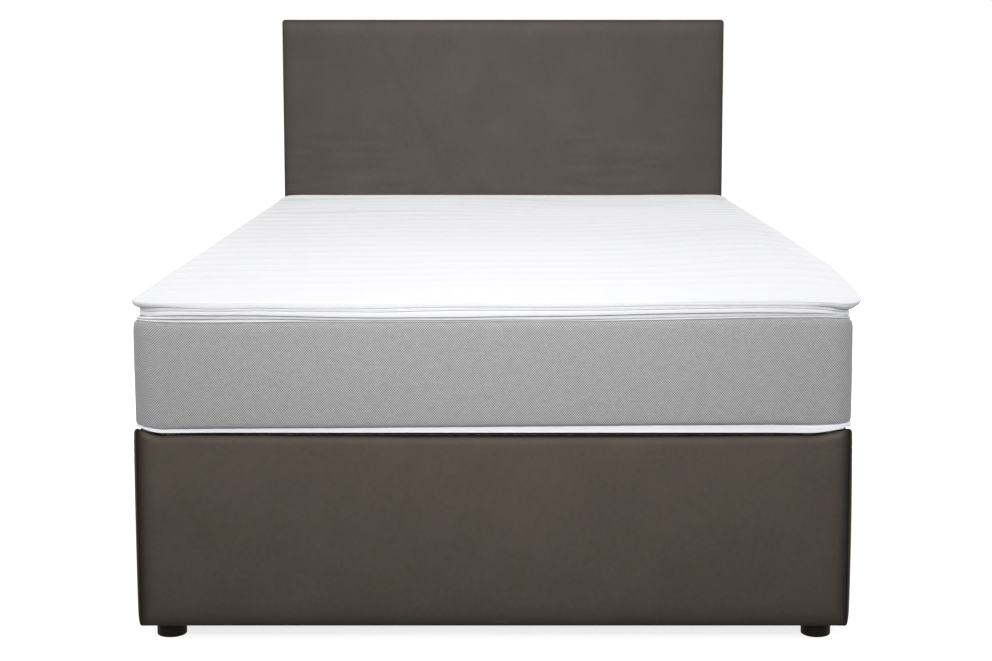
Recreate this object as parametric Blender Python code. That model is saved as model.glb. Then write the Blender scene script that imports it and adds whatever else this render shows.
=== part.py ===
"""A 120 x 200 cm box spring bed: a boxed, sprung and upholstered base on five
low feet, an upholstered headboard bolted to it, a pocket spring mattress that
lies on the base, and a quilted, zipped topper that lies on the mattress.

Metres, +Z up. The foot end faces -Y and the headboard stands at +Y. The origin
is on the floor, under the middle of the whole bed.
"""

import math

import bmesh
import bpy
from mathutils import Vector

# Clearance between pieces that touch on the real bed, and the overrun of a cutter
GAP = 0.0003
OVERRUN = 0.004

# How many times larger a mesh is while its faces are split
ENLARGED = 1000

# Bed
bed_width = 1.200
bed_length = 2.000

# Feet: turned plastic glides, one wood screw each
foot_height = 0.025
foot_diameter = 0.050
foot_inset_side = 0.052
foot_inset_end = 0.046
foot_chamfer = 0.0015
foot_recess_depth = 0.014
foot_recess_diameter = 0.018
foot_sides = 20
screw_diameter = 0.005
screw_length = 0.045
screw_head_diameter = 0.011
screw_head_height = 0.004
screw_tip = 0.006
screw_sides = 8

# Base: wooden box frame with slats
base_height = 0.330
rail_thickness = 0.022
rail_height = 0.190
beam_thickness = 0.030
block_side = 0.060
slat_count = 8
slat_width = 0.070
slat_thickness = 0.018
board_chamfer = 0.002

# Base: upholstery
base_corner_radius = 0.010
base_draw_in = 0.007
base_seam_roll = 0.034
base_edge_roll = 0.024
skin_thickness = 0.002
padding_thickness = 0.006
top_cloth_thickness = 0.002
top_cloth_crown = 0.0005
dust_cloth_thickness = 0.001
base_foam_thickness = 0.020
base_felt_thickness = 0.004
base_edge_foam_width = 0.050
base_pocket_columns = 6
base_pocket_rows = 10

# Headboard
headboard_top = 1.060
headboard_foam_thickness = 0.038
headboard_board_thickness = 0.018
headboard_skin_thickness = 0.002
headboard_cloth_thickness = 0.001
headboard_cloth_inset = 0.004
headboard_corner_radius = 0.008
headboard_roll_width = 0.030
headboard_roll_depth = 0.011
bolt_diameter = 0.008
bolt_head_across_flats = 0.013
bolt_head_height = 0.0053
bolt_spacing = 0.700
bolt_height = 0.140
bolt_sides = 10
nut_flange_diameter = 0.022
nut_flange_thickness = 0.0015
nut_barrel_diameter = 0.0106
nut_barrel_length = 0.012

# Mattress
mattress_clearance = 0.0015
mattress_height = 0.192
mattress_corner_radius = 0.034
mattress_draw_in = 0.0075
mattress_edge_roll = 0.030
mattress_border_thickness = 0.004
mattress_rim_height = 0.011
mattress_rim_tuck = 0.005
mattress_bottom_cloth_thickness = 0.002
mattress_top_cloth_thickness = 0.008
mattress_top_cloth_edge = 0.006
mattress_foam_thickness = 0.020
mattress_edge_foam_width = 0.040
pocket_columns = 9
pocket_rows = 15

# Topper
topper_overhang = 0.007
topper_clearance = 0.001
topper_height = 0.033
topper_corner_radius = 0.042
topper_draw_in = 0.014
topper_rim_height = 0.011
topper_rim_tuck = 0.003
topper_skin_thickness = 0.002
topper_foam_inset = 0.010
topper_ceiling_drop = 0.011
topper_edge_roll = 0.060
topper_edge_drop = 0.008
topper_channels = 21
topper_channel_depth = 0.0045
topper_wave_depth = 0.016
topper_wave_length = 0.760
topper_wave_drift = 0.900
topper_side_sweep = 0.050
topper_straight_ends = 0.150

# Topper zip
zip_height = 0.0052
zip_slit = 0.0012
zip_tape_thickness = 0.0016
slider_length = 0.010
slider_plate_thickness = 0.0012
slider_inner_height = 0.0034
strap_width = 0.0018
strap_thickness = 0.0008
strap_clear_height = 0.0016
strap_half_length = 0.0026
pull_thickness = 0.0009
pull_length = 0.022
pull_half_height = 0.0020
pull_window_half_height = 0.0013
pull_window_length = 0.0036
slider_parking = 0.035

# Shares of a roll, or of a channel, at which the outlines have their points
roll_shares = (0.0, 0.18, 0.42, 0.70, 1.0)
hidden_roll_shares = (0.0, 0.42, 1.0)
channel_shares = (0.0, 0.22, 0.78)
channel_height_shares = (0.0, 1.0, 1.0)
sweep_power_share = 4
topper_bulge_shares = ((0.0, 0.0), (0.55, 0.12), (0.93, 0.42), (1.0, 0.68), (0.90, 0.90))
topper_column_shares = (
    0.0, 0.025, 0.07, 0.14, 0.24, 0.36, 0.50, 0.64, 0.76, 0.86, 0.93, 0.975, 1.0
)
octagon_cut_share = 0.2929
screw_drive_share = 0.7
pull_corner_share = 0.5

# Levels, from the floor up
base_bottom = foot_height + GAP
frame_bottom = base_bottom + dust_cloth_thickness + GAP
frame_top = frame_bottom + rail_height
slat_top = frame_top + GAP + slat_thickness
base_top = foot_height + base_height
skin_top = base_top - top_cloth_thickness - GAP
base_foam_bottom = skin_top - base_foam_thickness
base_felt_bottom = base_foam_bottom - GAP - base_felt_thickness
base_springs_bottom = slat_top + GAP
base_springs_top = base_felt_bottom - GAP
mattress_bottom = base_top + GAP
mattress_top = mattress_bottom + mattress_height
topper_bottom = mattress_top + GAP
topper_top = topper_bottom + topper_height
zip_bottom = topper_bottom + topper_rim_height
zip_middle = zip_bottom + zip_height / 2
zip_top = zip_bottom + zip_height

# Places along the bed
headboard_thickness = (
    headboard_skin_thickness
    + headboard_foam_thickness
    + headboard_board_thickness
    + headboard_cloth_thickness
    + 3 * GAP
)
total_length = topper_overhang + bed_length + GAP + headboard_thickness
foot_end = topper_overhang - total_length / 2
head_end = foot_end + bed_length
base_middle = (foot_end + head_end) / 2
headboard_front = head_end + GAP
headboard_back = headboard_front + headboard_thickness

# Half widths of the base, from the outside in
half_width = bed_width / 2
half_length = bed_length / 2
seam_inset = base_draw_in
padding_outside = base_draw_in + skin_thickness + GAP
frame_inset = padding_outside + padding_thickness + GAP
frame_half_x = half_width - frame_inset
frame_half_y = half_length - frame_inset


# Half sizes of the mattress
mattress_half_x = half_width - mattress_clearance
mattress_half_y = half_length - mattress_clearance


def clear_scene():
    for obj in list(bpy.data.objects):
        bpy.data.objects.remove(obj, do_unlink=True)


def finish(name, colour, roughness, metallic=0.0):
    """A material for one kind of surface."""
    made = bpy.data.materials.new(name)
    made.use_nodes = True
    shader = made.node_tree.nodes["Principled BSDF"]
    shader.inputs["Base Color"].default_value = (*colour, 1.0)
    shader.inputs["Roughness"].default_value = roughness
    shader.inputs["Metallic"].default_value = metallic
    return made


def place(name, bm, look, smooth_angle=None):
    """Closes a bmesh into a named object with a material. Quads are split along
    their shorter diagonal, so that two skins that lie on each other fold alike.
    Faces are split while enlarged, because very small ones split wrongly."""
    bmesh.ops.scale(bm, vec=(ENLARGED, ENLARGED, ENLARGED), verts=bm.verts)
    bmesh.ops.triangulate(bm, faces=bm.faces, quad_method="SHORT_EDGE", ngon_method="BEAUTY")
    bmesh.ops.recalc_face_normals(bm, faces=bm.faces)
    bmesh.ops.scale(bm, vec=(1 / ENLARGED, 1 / ENLARGED, 1 / ENLARGED), verts=bm.verts)
    mesh = bpy.data.meshes.new(name)
    bm.to_mesh(mesh)
    bm.free()
    mesh.materials.append(look)
    obj = bpy.data.objects.new(name, mesh)
    bpy.context.scene.collection.objects.link(obj)
    if smooth_angle is not None:
        mesh.shade_smooth()
        mesh.set_sharp_from_angle(angle=math.radians(smooth_angle))
    return obj


def board(name, low, high, look, chamfer=board_chamfer):
    """A plank between two corners, with its edges eased."""
    bm = bmesh.new()
    bmesh.ops.create_cube(bm, size=1.0)
    size = Vector(high) - Vector(low)
    middle = (Vector(high) + Vector(low)) / 2
    for vert in bm.verts:
        vert.co = middle + Vector(a * b for a, b in zip(vert.co, size))
    if chamfer:
        bmesh.ops.bevel(bm, geom=bm.edges[:], offset=chamfer, segments=1, affect="EDGES")
    return place(name, bm, look)


def skinned(name, loops, look, closed=False, smooth_angle=30):
    """Joins loops of equally many points by faces. The ends are capped, or joined to each other."""
    bm = bmesh.new()
    rings = [[bm.verts.new(point) for point in loop] for loop in loops]
    pairs = list(zip(rings, rings[1:]))
    if closed:
        pairs.append((rings[-1], rings[0]))
    count = len(rings[0])
    for first, second in pairs:
        for i in range(count):
            j = (i + 1) % count
            bm.faces.new((first[i], first[j], second[j], second[i]))
    if not closed:
        bm.faces.new(rings[0])
        bm.faces.new(rings[-1])
    return place(name, bm, look, smooth_angle)


def turned(name, profile, sides, look, closed_profile):
    """Revolves (radius, height) points about +Z. A profile that isn't closed starts and ends on the axis."""
    bm = bmesh.new()
    verts = [bm.verts.new((radius, 0.0, height)) for radius, height in profile]
    ends = list(zip(verts, verts[1:]))
    if closed_profile:
        ends.append((verts[-1], verts[0]))
    edges = [bm.edges.new(pair) for pair in ends]
    bmesh.ops.spin(
        bm,
        geom=verts + edges,
        cent=(0, 0, 0),
        axis=(0, 0, 1),
        angle=math.tau,
        steps=sides,
        use_merge=True,
        use_duplicate=False,
    )
    bmesh.ops.remove_doubles(bm, verts=bm.verts, dist=GAP / 100)
    return place(name, bm, look, smooth_angle=40)


def helper(obj):
    """Keeps a cutter or an operand out of the model itself."""
    obj.hide_render = True
    obj.display_type = "WIRE"
    return obj


def combine(obj, other, operation):
    change = obj.modifiers.new(operation.lower(), "BOOLEAN")
    change.operation = operation
    change.solver = "EXACT"
    change.object = helper(other)


def drill(obj, radius, start, end, sides, look):
    """Cuts a round hole between two points on one upright or lengthwise line."""
    axis = Vector(end) - Vector(start)
    profile = [(0, 0), (radius, 0), (radius, axis.length), (0, axis.length)]
    cutter = turned(f"cutter_{obj.name}", profile, sides, look, False)
    cutter.rotation_mode = "QUATERNION"
    cutter.rotation_quaternion = axis.to_track_quat("Z", "Y")
    cutter.location = start
    combine(obj, cutter, "DIFFERENCE")


class Outline:
    """A rectangle with rounded corners, seen from above and walked counterclockwise
    from the left end of its foot side. It gives the point and the outward direction
    at any distance along it."""

    def __init__(self, half_x, half_y, radius, middle_y):
        self.half = Vector((half_x, half_y))
        self.radius = radius
        self.middle = Vector((0.0, middle_y))
        self.side_x = 2 * (half_x - radius)
        self.side_y = 2 * (half_y - radius)
        self.arc = math.pi / 2 * radius
        self.length = 2 * (self.side_x + self.side_y) + 4 * self.arc

    def corners(self):
        """The distance at which each straight side starts."""
        starts, along = [], 0.0
        for side in (self.side_x, self.side_y, self.side_x, self.side_y):
            starts.append(along)
            along += side + self.arc
        return starts

    def at(self, along):
        along %= self.length
        turn = 0
        for side in (self.side_x, self.side_y, self.side_x, self.side_y):
            if along <= side + self.arc:
                break
            along -= side + self.arc
            turn += 1
        heading = turn * math.pi / 2
        out = Vector((math.sin(heading), -math.cos(heading)))
        forward = Vector((math.cos(heading), math.sin(heading)))
        side = self.side_y if turn % 2 else self.side_x
        reach = self.half.x if turn % 2 else self.half.y
        start = out * reach - forward * side / 2
        if along <= side:
            return self.middle + start + forward * along, out
        angle = (along - side) / self.radius
        centre = start + forward * side - out * self.radius
        bent = out * math.cos(angle) + forward * math.sin(angle)
        return self.middle + centre + bent * self.radius, bent


def around(outline, corner_steps):
    """Distances along an outline: the ends of its straight sides and points round each corner."""
    found = []
    for i, start in enumerate(outline.corners()):
        side = outline.side_y if i % 2 else outline.side_x
        found.append(start)
        found += [start + side + outline.arc * k / corner_steps for k in range(corner_steps)]
    return found


def ring(half_x, half_y, radius, middle_y, height, corner_steps=4):
    """A level loop of points round a rounded rectangle."""
    outline = Outline(half_x, half_y, radius, middle_y)
    points = [outline.at(along)[0] for along in around(outline, corner_steps)]
    return [Vector((p.x, p.y, height)) for p in points]


def fullness(distance, roll):
    """0 at a seam, rising to 1 where the padding is full, a roll's width away."""
    share = max(0.0, min(1.0, distance / roll))
    return math.sin(share * math.pi / 2)


def rolled(low, high, roll, shares=roll_shares):
    """Places between two seams, closer together where the padding rolls over."""
    rising = [low + roll * share for share in shares]
    falling = [high - roll * share for share in reversed(shares)]
    return rising + falling


def foot(name, x, y, looks):
    """A low turned glide, bored from below for its screw."""
    bore = screw_diameter / 2 + GAP
    outer = foot_diameter / 2
    profile = [
        (foot_recess_diameter / 2, 0.0),
        (outer - foot_chamfer, 0.0),
        (outer, foot_chamfer),
        (outer, foot_height - foot_chamfer),
        (outer - foot_chamfer, foot_height),
        (bore, foot_height),
        (bore, foot_recess_depth),
        (foot_recess_diameter / 2, foot_recess_depth),
    ]
    turned(f"foot_{name}", profile, foot_sides, looks["foot"], True).location = (x, y, 0)


def foot_screw(name, x, y, looks):
    """The wood screw that holds a foot, its head seated in the foot's recess."""
    seat = foot_recess_depth - GAP
    head = screw_head_diameter / 2
    shank = screw_diameter / 2
    profile = [
        (0, seat - screw_head_height),
        (head * screw_drive_share, seat - screw_head_height),
        (head, seat - screw_head_height / 2),
        (head, seat),
        (shank, seat),
        (shank, seat + screw_length - screw_tip),
        (0, seat + screw_length),
    ]
    made = turned(f"foot_screw_{name}", profile, screw_sides, looks["steel"], False)
    made.location = (x, y, 0)


def foot_places():
    x = half_width - foot_inset_side
    return {
        "foot_left": (-x, foot_end + foot_inset_end),
        "foot_right": (x, foot_end + foot_inset_end),
        "head_left": (-x, head_end - foot_inset_end),
        "head_right": (x, head_end - foot_inset_end),
        "centre": (0.0, base_middle),
    }


def pilot_hole(obj, place_xy, looks):
    """A blind hole for a foot screw, up into a block or the beam."""
    tip = foot_recess_depth - GAP + screw_length + GAP
    start = (*place_xy, frame_bottom - OVERRUN)
    drill(obj, screw_diameter / 2 + GAP, start, (*place_xy, tip), screw_sides, looks["wood"])


def bolt_places():
    return {"left": -bolt_spacing / 2, "right": bolt_spacing / 2}


def bolt_holes(obj, radius, start_y, end_y, looks):
    """Holes for both headboard bolts, lengthwise through a piece."""
    for x in bolt_places().values():
        drill(obj, radius, (x, start_y, bolt_height), (x, end_y, bolt_height), bolt_sides, looks["wood"])


def build_frame(looks):
    """The wooden box: four rails, corner blocks, a beam down the middle and slats across."""
    wood = looks["wood"]
    low_y, high_y = base_middle - frame_half_y, base_middle + frame_half_y
    inner_x = frame_half_x - rail_thickness
    board(
        "frame_rail_foot",
        (-frame_half_x, low_y, frame_bottom),
        (frame_half_x, low_y + rail_thickness, frame_top),
        wood,
    )
    head_rail = board(
        "frame_rail_head",
        (-frame_half_x, high_y - rail_thickness, frame_bottom),
        (frame_half_x, high_y, frame_top),
        wood,
    )
    bolt_holes(
        head_rail, bolt_diameter / 2 + GAP, high_y - rail_thickness - OVERRUN, high_y + OVERRUN, looks
    )
    side_low, side_high = low_y + rail_thickness + GAP, high_y - rail_thickness - GAP
    for name, side in (("left", -1), ("right", 1)):
        xs = sorted((side * inner_x, side * frame_half_x))
        board(f"frame_rail_{name}", (xs[0], side_low, frame_bottom), (xs[1], side_high, frame_top), wood)
    beam = board(
        "frame_centre_beam",
        (-beam_thickness / 2, side_low, frame_bottom),
        (beam_thickness / 2, side_high, frame_top),
        wood,
    )
    places = foot_places()
    pilot_hole(beam, places["centre"], looks)
    for name in ("foot_left", "foot_right", "head_left", "head_right"):
        x_side = -1 if "left" in name else 1
        y_side = -1 if name.startswith("foot") else 1
        xs = sorted((x_side * (inner_x - GAP), x_side * (inner_x - GAP - block_side)))
        y_out = base_middle + y_side * (frame_half_y - rail_thickness - GAP)
        ys = sorted((y_out, y_out - y_side * block_side))
        block = board(
            f"corner_block_{name}", (xs[0], ys[0], frame_bottom), (xs[1], ys[1], frame_top), wood
        )
        pilot_hole(block, places[name], looks)
    pitch = (high_y - low_y - slat_width) / (slat_count - 1)
    for i in range(slat_count):
        start = low_y + pitch * i
        board(
            f"cross_slat_{i + 1}",
            (-frame_half_x, start, frame_top + GAP),
            (frame_half_x, start + slat_width, slat_top),
            wood,
        )


def pocket_springs(name, half_x, half_y, low, high, columns, rows, look):
    """Pocketed springs glued flat to flat into one unit. Each pocket has eight
    sides, and the small square shafts between four pockets stay open."""
    pitch_x, pitch_y = 2 * half_x / columns, 2 * half_y / rows
    cut_x, cut_y = pitch_x * octagon_cut_share, pitch_y * octagon_cut_share
    bm = bmesh.new()
    points = {}

    def vert(column, row, dx, dy, level):
        """A corner's vertex, shared with the pocket next to it."""
        x = -half_x + column * pitch_x + dx
        y = -half_y + row * pitch_y + dy
        key = (round(x / GAP), round(y / GAP), level)
        if key not in points:
            points[key] = bm.verts.new((x, base_middle + y, level))
        return points[key]

    corner_steps = (
        (0, 0, cut_x, 0),
        (1, 0, -cut_x, 0),
        (1, 0, 0, cut_y),
        (1, 1, 0, -cut_y),
        (1, 1, -cut_x, 0),
        (0, 1, cut_x, 0),
        (0, 1, 0, -cut_y),
        (0, 0, 0, cut_y),
    )
    for column in range(columns):
        for row in range(rows):
            for level in (low, high):
                bm.faces.new(
                    [vert(column + i, row + j, dx, dy, level) for i, j, dx, dy in corner_steps]
                )
    top_of = {(k[0], k[1]): v for k, v in points.items() if k[2] == high}
    place_of = {v: (k[0], k[1]) for k, v in points.items()}
    open_edges = [e for e in bm.edges if len(e.link_faces) == 1 and place_of[e.verts[0]] in top_of]
    for edge in open_edges:
        first, second = edge.verts
        if points.get((*place_of[first], low)) is not first:
            continue
        bm.faces.new((first, second, top_of[place_of[second]], top_of[place_of[first]]))
    return place(name, bm, look)


def edge_foam(name, half_x, half_y, width, low, high, look):
    """A foam frame round a spring unit."""
    radius = GAP * 10
    loops = []
    for inset, level in ((0, low), (0, high), (width, high), (width, low)):
        loops.append(ring(half_x - inset, half_y - inset, radius, base_middle, level, 1))
    return skinned(name, loops, look, closed=True, smooth_angle=None)


def build_base_springs(looks):
    """What makes the base a box spring: springs on the slats, felt and foam over them."""
    foam = looks["foam"]
    edge_foam(
        "base_edge_foam",
        frame_half_x,
        frame_half_y,
        base_edge_foam_width,
        base_springs_bottom,
        base_springs_top,
        foam,
    )
    inset = base_edge_foam_width + GAP
    pocket_springs(
        "base_spring_unit",
        frame_half_x - inset,
        frame_half_y - inset,
        base_springs_bottom,
        base_springs_top,
        base_pocket_columns,
        base_pocket_rows,
        looks["pocket"],
    )
    low_y, high_y = base_middle - frame_half_y, base_middle + frame_half_y
    board(
        "base_felt_pad",
        (-frame_half_x, low_y, base_felt_bottom),
        (frame_half_x, high_y, base_foam_bottom - GAP),
        looks["felt"],
        0,
    )
    board(
        "base_foam_pad",
        (-frame_half_x, low_y, base_foam_bottom),
        (frame_half_x, high_y, skin_top),
        foam,
    )


def base_side(outline, seams, along, depth, levels):
    """Points up the base's side at one place, depth inside its covered surface."""
    point, out = outline.at(along)
    apart = [abs(along - seam) for seam in seams]
    beside = fullness(min(min(apart), outline.length - max(apart)), base_seam_roll)
    found = []
    for level in levels:
        edge = min(level - base_bottom, skin_top - level)
        inset = base_draw_in * (1 - beside * fullness(edge, base_edge_roll)) + depth
        at = point - out * inset
        found.append(Vector((at.x, at.y, level)))
    return found


def build_base_upholstery(looks):
    """Padding round the box, four sewn side panels, the top cloth and the dust cloth."""
    outline = Outline(half_width, half_length, base_corner_radius, base_middle)
    starts = outline.corners()
    seams = [
        starts[0],
        starts[0] + outline.side_x,
        starts[2],
        starts[2] + outline.side_x,
    ]
    levels = rolled(base_bottom, skin_top, base_edge_roll)
    leather = looks["leather"]
    panels = {
        "foot": (seams[0], seams[1]),
        "right": (seams[1], seams[2]),
        "head": (seams[2], seams[3]),
        "left": (seams[3], outline.length),
    }
    for name, (start, end) in panels.items():
        loops = []
        for along in rolled(start + GAP / 2, end - GAP / 2, base_seam_roll):
            outside = base_side(outline, seams, along, 0, levels)
            inside = base_side(outline, seams, along, skin_thickness, levels)
            loops.append(outside + inside[::-1])
        panel = skinned(f"base_cover_{name}", loops, leather)
        if name == "head":
            bolt_holes(
                panel, bolt_diameter / 2 + GAP, head_end - padding_outside - OVERRUN, head_end + OVERRUN, looks
            )
    loops = []
    padded_levels = rolled(base_bottom, skin_top, base_edge_roll, hidden_roll_shares)
    padded_levels[0] = frame_bottom
    frame_outline = Outline(frame_half_x + GAP, frame_half_y + GAP, GAP, base_middle)
    for start, end in panels.values():
        for along in rolled(start + GAP / 2, end - GAP / 2, base_seam_roll, hidden_roll_shares):
            outside = base_side(outline, seams, along, skin_thickness + GAP, padded_levels)
            inner = nearest_inside(frame_outline, outline.at(along)[0])
            bottom = Vector((inner.x, inner.y, padded_levels[0]))
            top = Vector((inner.x, inner.y, padded_levels[-1]))
            loops.append(outside + [top, bottom])
    padding = skinned("base_side_padding", loops, looks["foam"], closed=True)
    bolt_holes(
        padding, bolt_diameter / 2 + GAP, head_end - frame_inset - OVERRUN, head_end + OVERRUN, looks
    )
    edge_x, edge_y = half_width - seam_inset, half_length - seam_inset
    flat = base_corner_radius
    skinned(
        "base_top_cloth",
        [
            ring(edge_x, edge_y, flat, base_middle, skin_top + GAP),
            ring(edge_x, edge_y, flat, base_middle, base_top - top_cloth_crown),
            ring(edge_x - flat / 4, edge_y - flat / 4, flat, base_middle, base_top),
        ],
        looks["cloth"],
    )
    low_x, low_y = edge_x - skin_thickness - GAP, edge_y - skin_thickness - GAP
    dust = skinned(
        "base_dust_cloth",
        [
            ring(low_x, low_y, flat, base_middle, base_bottom),
            ring(low_x, low_y, flat, base_middle, base_bottom + dust_cloth_thickness),
        ],
        looks["cloth"],
        smooth_angle=None,
    )
    for x, y in foot_places().values():
        start, end = (x, y, base_bottom - OVERRUN), (x, y, frame_bottom + OVERRUN)
        drill(dust, screw_diameter / 2 + GAP, start, end, screw_sides, looks["cloth"])


def nearest_inside(outline, point):
    """The point of a smaller outline that lies beside a point of a larger one."""
    local = point - outline.middle
    inner = outline.half - Vector((outline.radius, outline.radius))
    core = Vector((max(-inner.x, min(inner.x, local.x)), max(-inner.y, min(inner.y, local.y))))
    return outline.middle + core + (local - core).normalized() * outline.radius


def upright_ring(inset, corner, y):
    """A loop of points round the headboard, as seen from the foot end."""
    middle = (base_bottom + headboard_top) / 2
    half_z = (headboard_top - base_bottom) / 2
    loop = ring(half_width - inset, half_z - inset, max(corner - inset, corner / 4), 0.0, 0.0)
    return [Vector((p.x, y, middle + p.y)) for p in loop]


def rolled_front(inset, depth):
    """Loops from the headboard's flat front out over its padded edge, inset from the covered surface."""
    loops = []
    width = headboard_roll_width - inset
    fall = headboard_roll_depth - inset
    for share in roll_shares:
        angle = share * math.pi / 2
        aside = inset + width * (1 - math.sin(angle))
        back = headboard_front + depth + fall * (1 - math.cos(angle))
        loops.append(upright_ring(aside, headboard_corner_radius, back))
    return loops


def build_headboard(looks):
    """A board with foam on its front, a sewn cover over both, and a cloth on its back."""
    skin = headboard_skin_thickness
    foam_depth = skin + GAP
    foam_back = headboard_front + skin + headboard_foam_thickness + GAP
    board_front = foam_back + GAP
    board_back = board_front + headboard_board_thickness
    outside = rolled_front(0, 0) + [upright_ring(0, headboard_corner_radius, board_back)]
    inside = rolled_front(skin, skin) + [upright_ring(skin, headboard_corner_radius, board_back)]
    cover = skinned("headboard_cover", outside + inside[::-1], looks["leather"])
    back_loop = upright_ring(foam_depth, headboard_corner_radius, foam_back)
    foam = skinned("headboard_foam", rolled_front(foam_depth, foam_depth) + [back_loop], looks["foam"])
    corner = headboard_corner_radius
    panel = skinned(
        "headboard_board",
        [upright_ring(foam_depth, corner, y) for y in (board_front, board_back)],
        looks["wood"],
        smooth_angle=None,
    )
    cloth = headboard_cloth_inset
    skinned(
        "headboard_back_cloth",
        [
            upright_ring(cloth, corner, board_back + GAP),
            upright_ring(cloth, corner, headboard_back),
        ],
        looks["cloth"],
        smooth_angle=None,
    )
    bore = bolt_diameter / 2 + GAP
    bolt_holes(cover, bore, headboard_front - OVERRUN, foam_back - OVERRUN, looks)
    bolt_holes(foam, bore, headboard_front - OVERRUN, foam_back + OVERRUN, looks)
    bolt_holes(panel, nut_barrel_diameter / 2 + GAP, foam_back - OVERRUN, board_back + OVERRUN, looks)
    seat = board_back - nut_flange_thickness - 2 * GAP
    bolt_holes(panel, nut_flange_diameter / 2 + GAP, seat, board_back + OVERRUN, looks)
    for name, x in bolt_places().items():
        flange_nut(name, x, board_back - GAP, looks)
        headboard_bolt(name, x, board_back - GAP - nut_flange_thickness, looks)


def flange_nut(name, x, back, looks):
    """The nut let into the headboard's back, its barrel towards the base."""
    bore = bolt_diameter / 2 + GAP
    barrel = nut_barrel_diameter / 2
    length = nut_flange_thickness + nut_barrel_length
    profile = [
        (bore, 0),
        (nut_flange_diameter / 2, 0),
        (nut_flange_diameter / 2, nut_flange_thickness),
        (barrel, nut_flange_thickness),
        (barrel, length),
        (bore, length),
    ]
    made = turned(f"headboard_nut_{name}", profile, bolt_sides, looks["steel"], True)
    made.rotation_euler = (math.pi / 2, 0, 0)
    made.location = (x, back, bolt_height)


def headboard_bolt(name, x, end, looks):
    """A hex bolt from inside the head rail through to the nut in the headboard."""
    seat = base_middle + frame_half_y - rail_thickness - GAP
    made = turned(
        f"headboard_bolt_{name}",
        [(0, 0), (bolt_diameter / 2, 0), (bolt_diameter / 2, end - seat + OVERRUN), (0, end - seat + OVERRUN)],
        bolt_sides,
        looks["steel"],
        False,
    )
    made.rotation_euler = (-math.pi / 2, 0, 0)
    made.location = (x, seat - OVERRUN, bolt_height)
    corner = bolt_head_across_flats / math.sqrt(3)
    head_profile = [(0, 0), (corner, 0), (corner, bolt_head_height), (0, bolt_head_height)]
    head = turned(f"head_{name}", head_profile, 6, looks["steel"], False)
    head.rotation_euler = (math.pi / 2, 0, 0)
    head.location = (x, seat, bolt_height)
    combine(made, head, "UNION")


def mattress_ring(inset, height, corner_steps=5):
    radius = max(mattress_corner_radius - inset, mattress_corner_radius / 4)
    half_x, half_y = mattress_half_x - inset, mattress_half_y - inset
    return ring(half_x, half_y, radius, base_middle, height, corner_steps)


def build_mattress(looks):
    """Pocket springs in a foam box, a woven border, and white top and bottom cloths."""
    seam = mattress_draw_in
    core_inset = seam + mattress_border_thickness + GAP
    border_low = mattress_bottom + mattress_rim_height + GAP
    border_high = mattress_top - mattress_top_cloth_edge - GAP
    tuck = mattress_rim_tuck
    inner = core_inset - GAP
    floor = mattress_bottom + mattress_bottom_cloth_thickness
    skinned(
        "mattress_bottom_cloth",
        [
            mattress_ring(seam + tuck, mattress_bottom),
            mattress_ring(seam + tuck / 3, mattress_bottom + mattress_rim_height / 3),
            mattress_ring(seam, mattress_bottom + mattress_rim_height),
            mattress_ring(inner, mattress_bottom + mattress_rim_height),
            mattress_ring(inner, floor),
        ],
        looks["white"],
    )
    loops = []
    for level in rolled(border_low, border_high, mattress_edge_roll):
        full = fullness(min(level - border_low, border_high - level), mattress_edge_roll)
        loops.append(mattress_ring(seam * (1 - full), level))
    loops += [mattress_ring(inner, border_high), mattress_ring(inner, border_low)]
    skinned("mattress_border", loops, looks["border"], closed=True)
    cloth_low = mattress_top - mattress_top_cloth_thickness
    edge_low = border_high + GAP
    skinned(
        "mattress_top_cloth",
        [
            mattress_ring(core_inset, cloth_low),
            mattress_ring(core_inset, edge_low),
            mattress_ring(seam, edge_low),
            mattress_ring(seam, mattress_top - mattress_top_cloth_edge / 2),
            mattress_ring(seam + mattress_top_cloth_edge, mattress_top),
        ],
        looks["white"],
    )
    half_x, half_y = mattress_half_x - core_inset, mattress_half_y - core_inset
    foam_low, foam_high = floor + GAP, floor + GAP + mattress_foam_thickness
    top_foam_high = cloth_low - GAP
    top_foam_low = top_foam_high - mattress_foam_thickness
    for name, low, high in (
        ("mattress_bottom_foam", foam_low, foam_high),
        ("mattress_top_foam", top_foam_low, top_foam_high),
    ):
        loops = [mattress_ring(core_inset, low), mattress_ring(core_inset, high)]
        skinned(name, loops, looks["foam"], smooth_angle=None)
    core_low, core_high = foam_high + GAP, top_foam_low - GAP
    rounding = mattress_corner_radius - core_inset
    width = mattress_edge_foam_width
    skinned(
        "mattress_edge_foam",
        [
            mattress_ring(core_inset, core_low),
            mattress_ring(core_inset, core_high),
            mattress_ring(core_inset + width, core_high),
            mattress_ring(core_inset + width, core_low),
        ],
        looks["foam"],
        closed=True,
        smooth_angle=None,
    )
    pocket_springs(
        "mattress_spring_core",
        half_x - width - GAP,
        half_y - width - GAP,
        core_low,
        core_high,
        pocket_columns,
        pocket_rows,
        looks["pocket"],
    )


topper_low_y = foot_end - topper_overhang
topper_high_y = head_end - topper_clearance
topper_middle = (topper_low_y + topper_high_y) / 2
topper_half_x = half_width + topper_overhang
topper_half_y = (topper_high_y - topper_low_y) / 2


def topper_ring(inset, height, corner_steps=4):
    radius = max(topper_corner_radius - inset, topper_corner_radius / 4)
    half_x, half_y = topper_half_x - inset, topper_half_y - inset
    return ring(half_x, half_y, radius, topper_middle, height, corner_steps)


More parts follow.
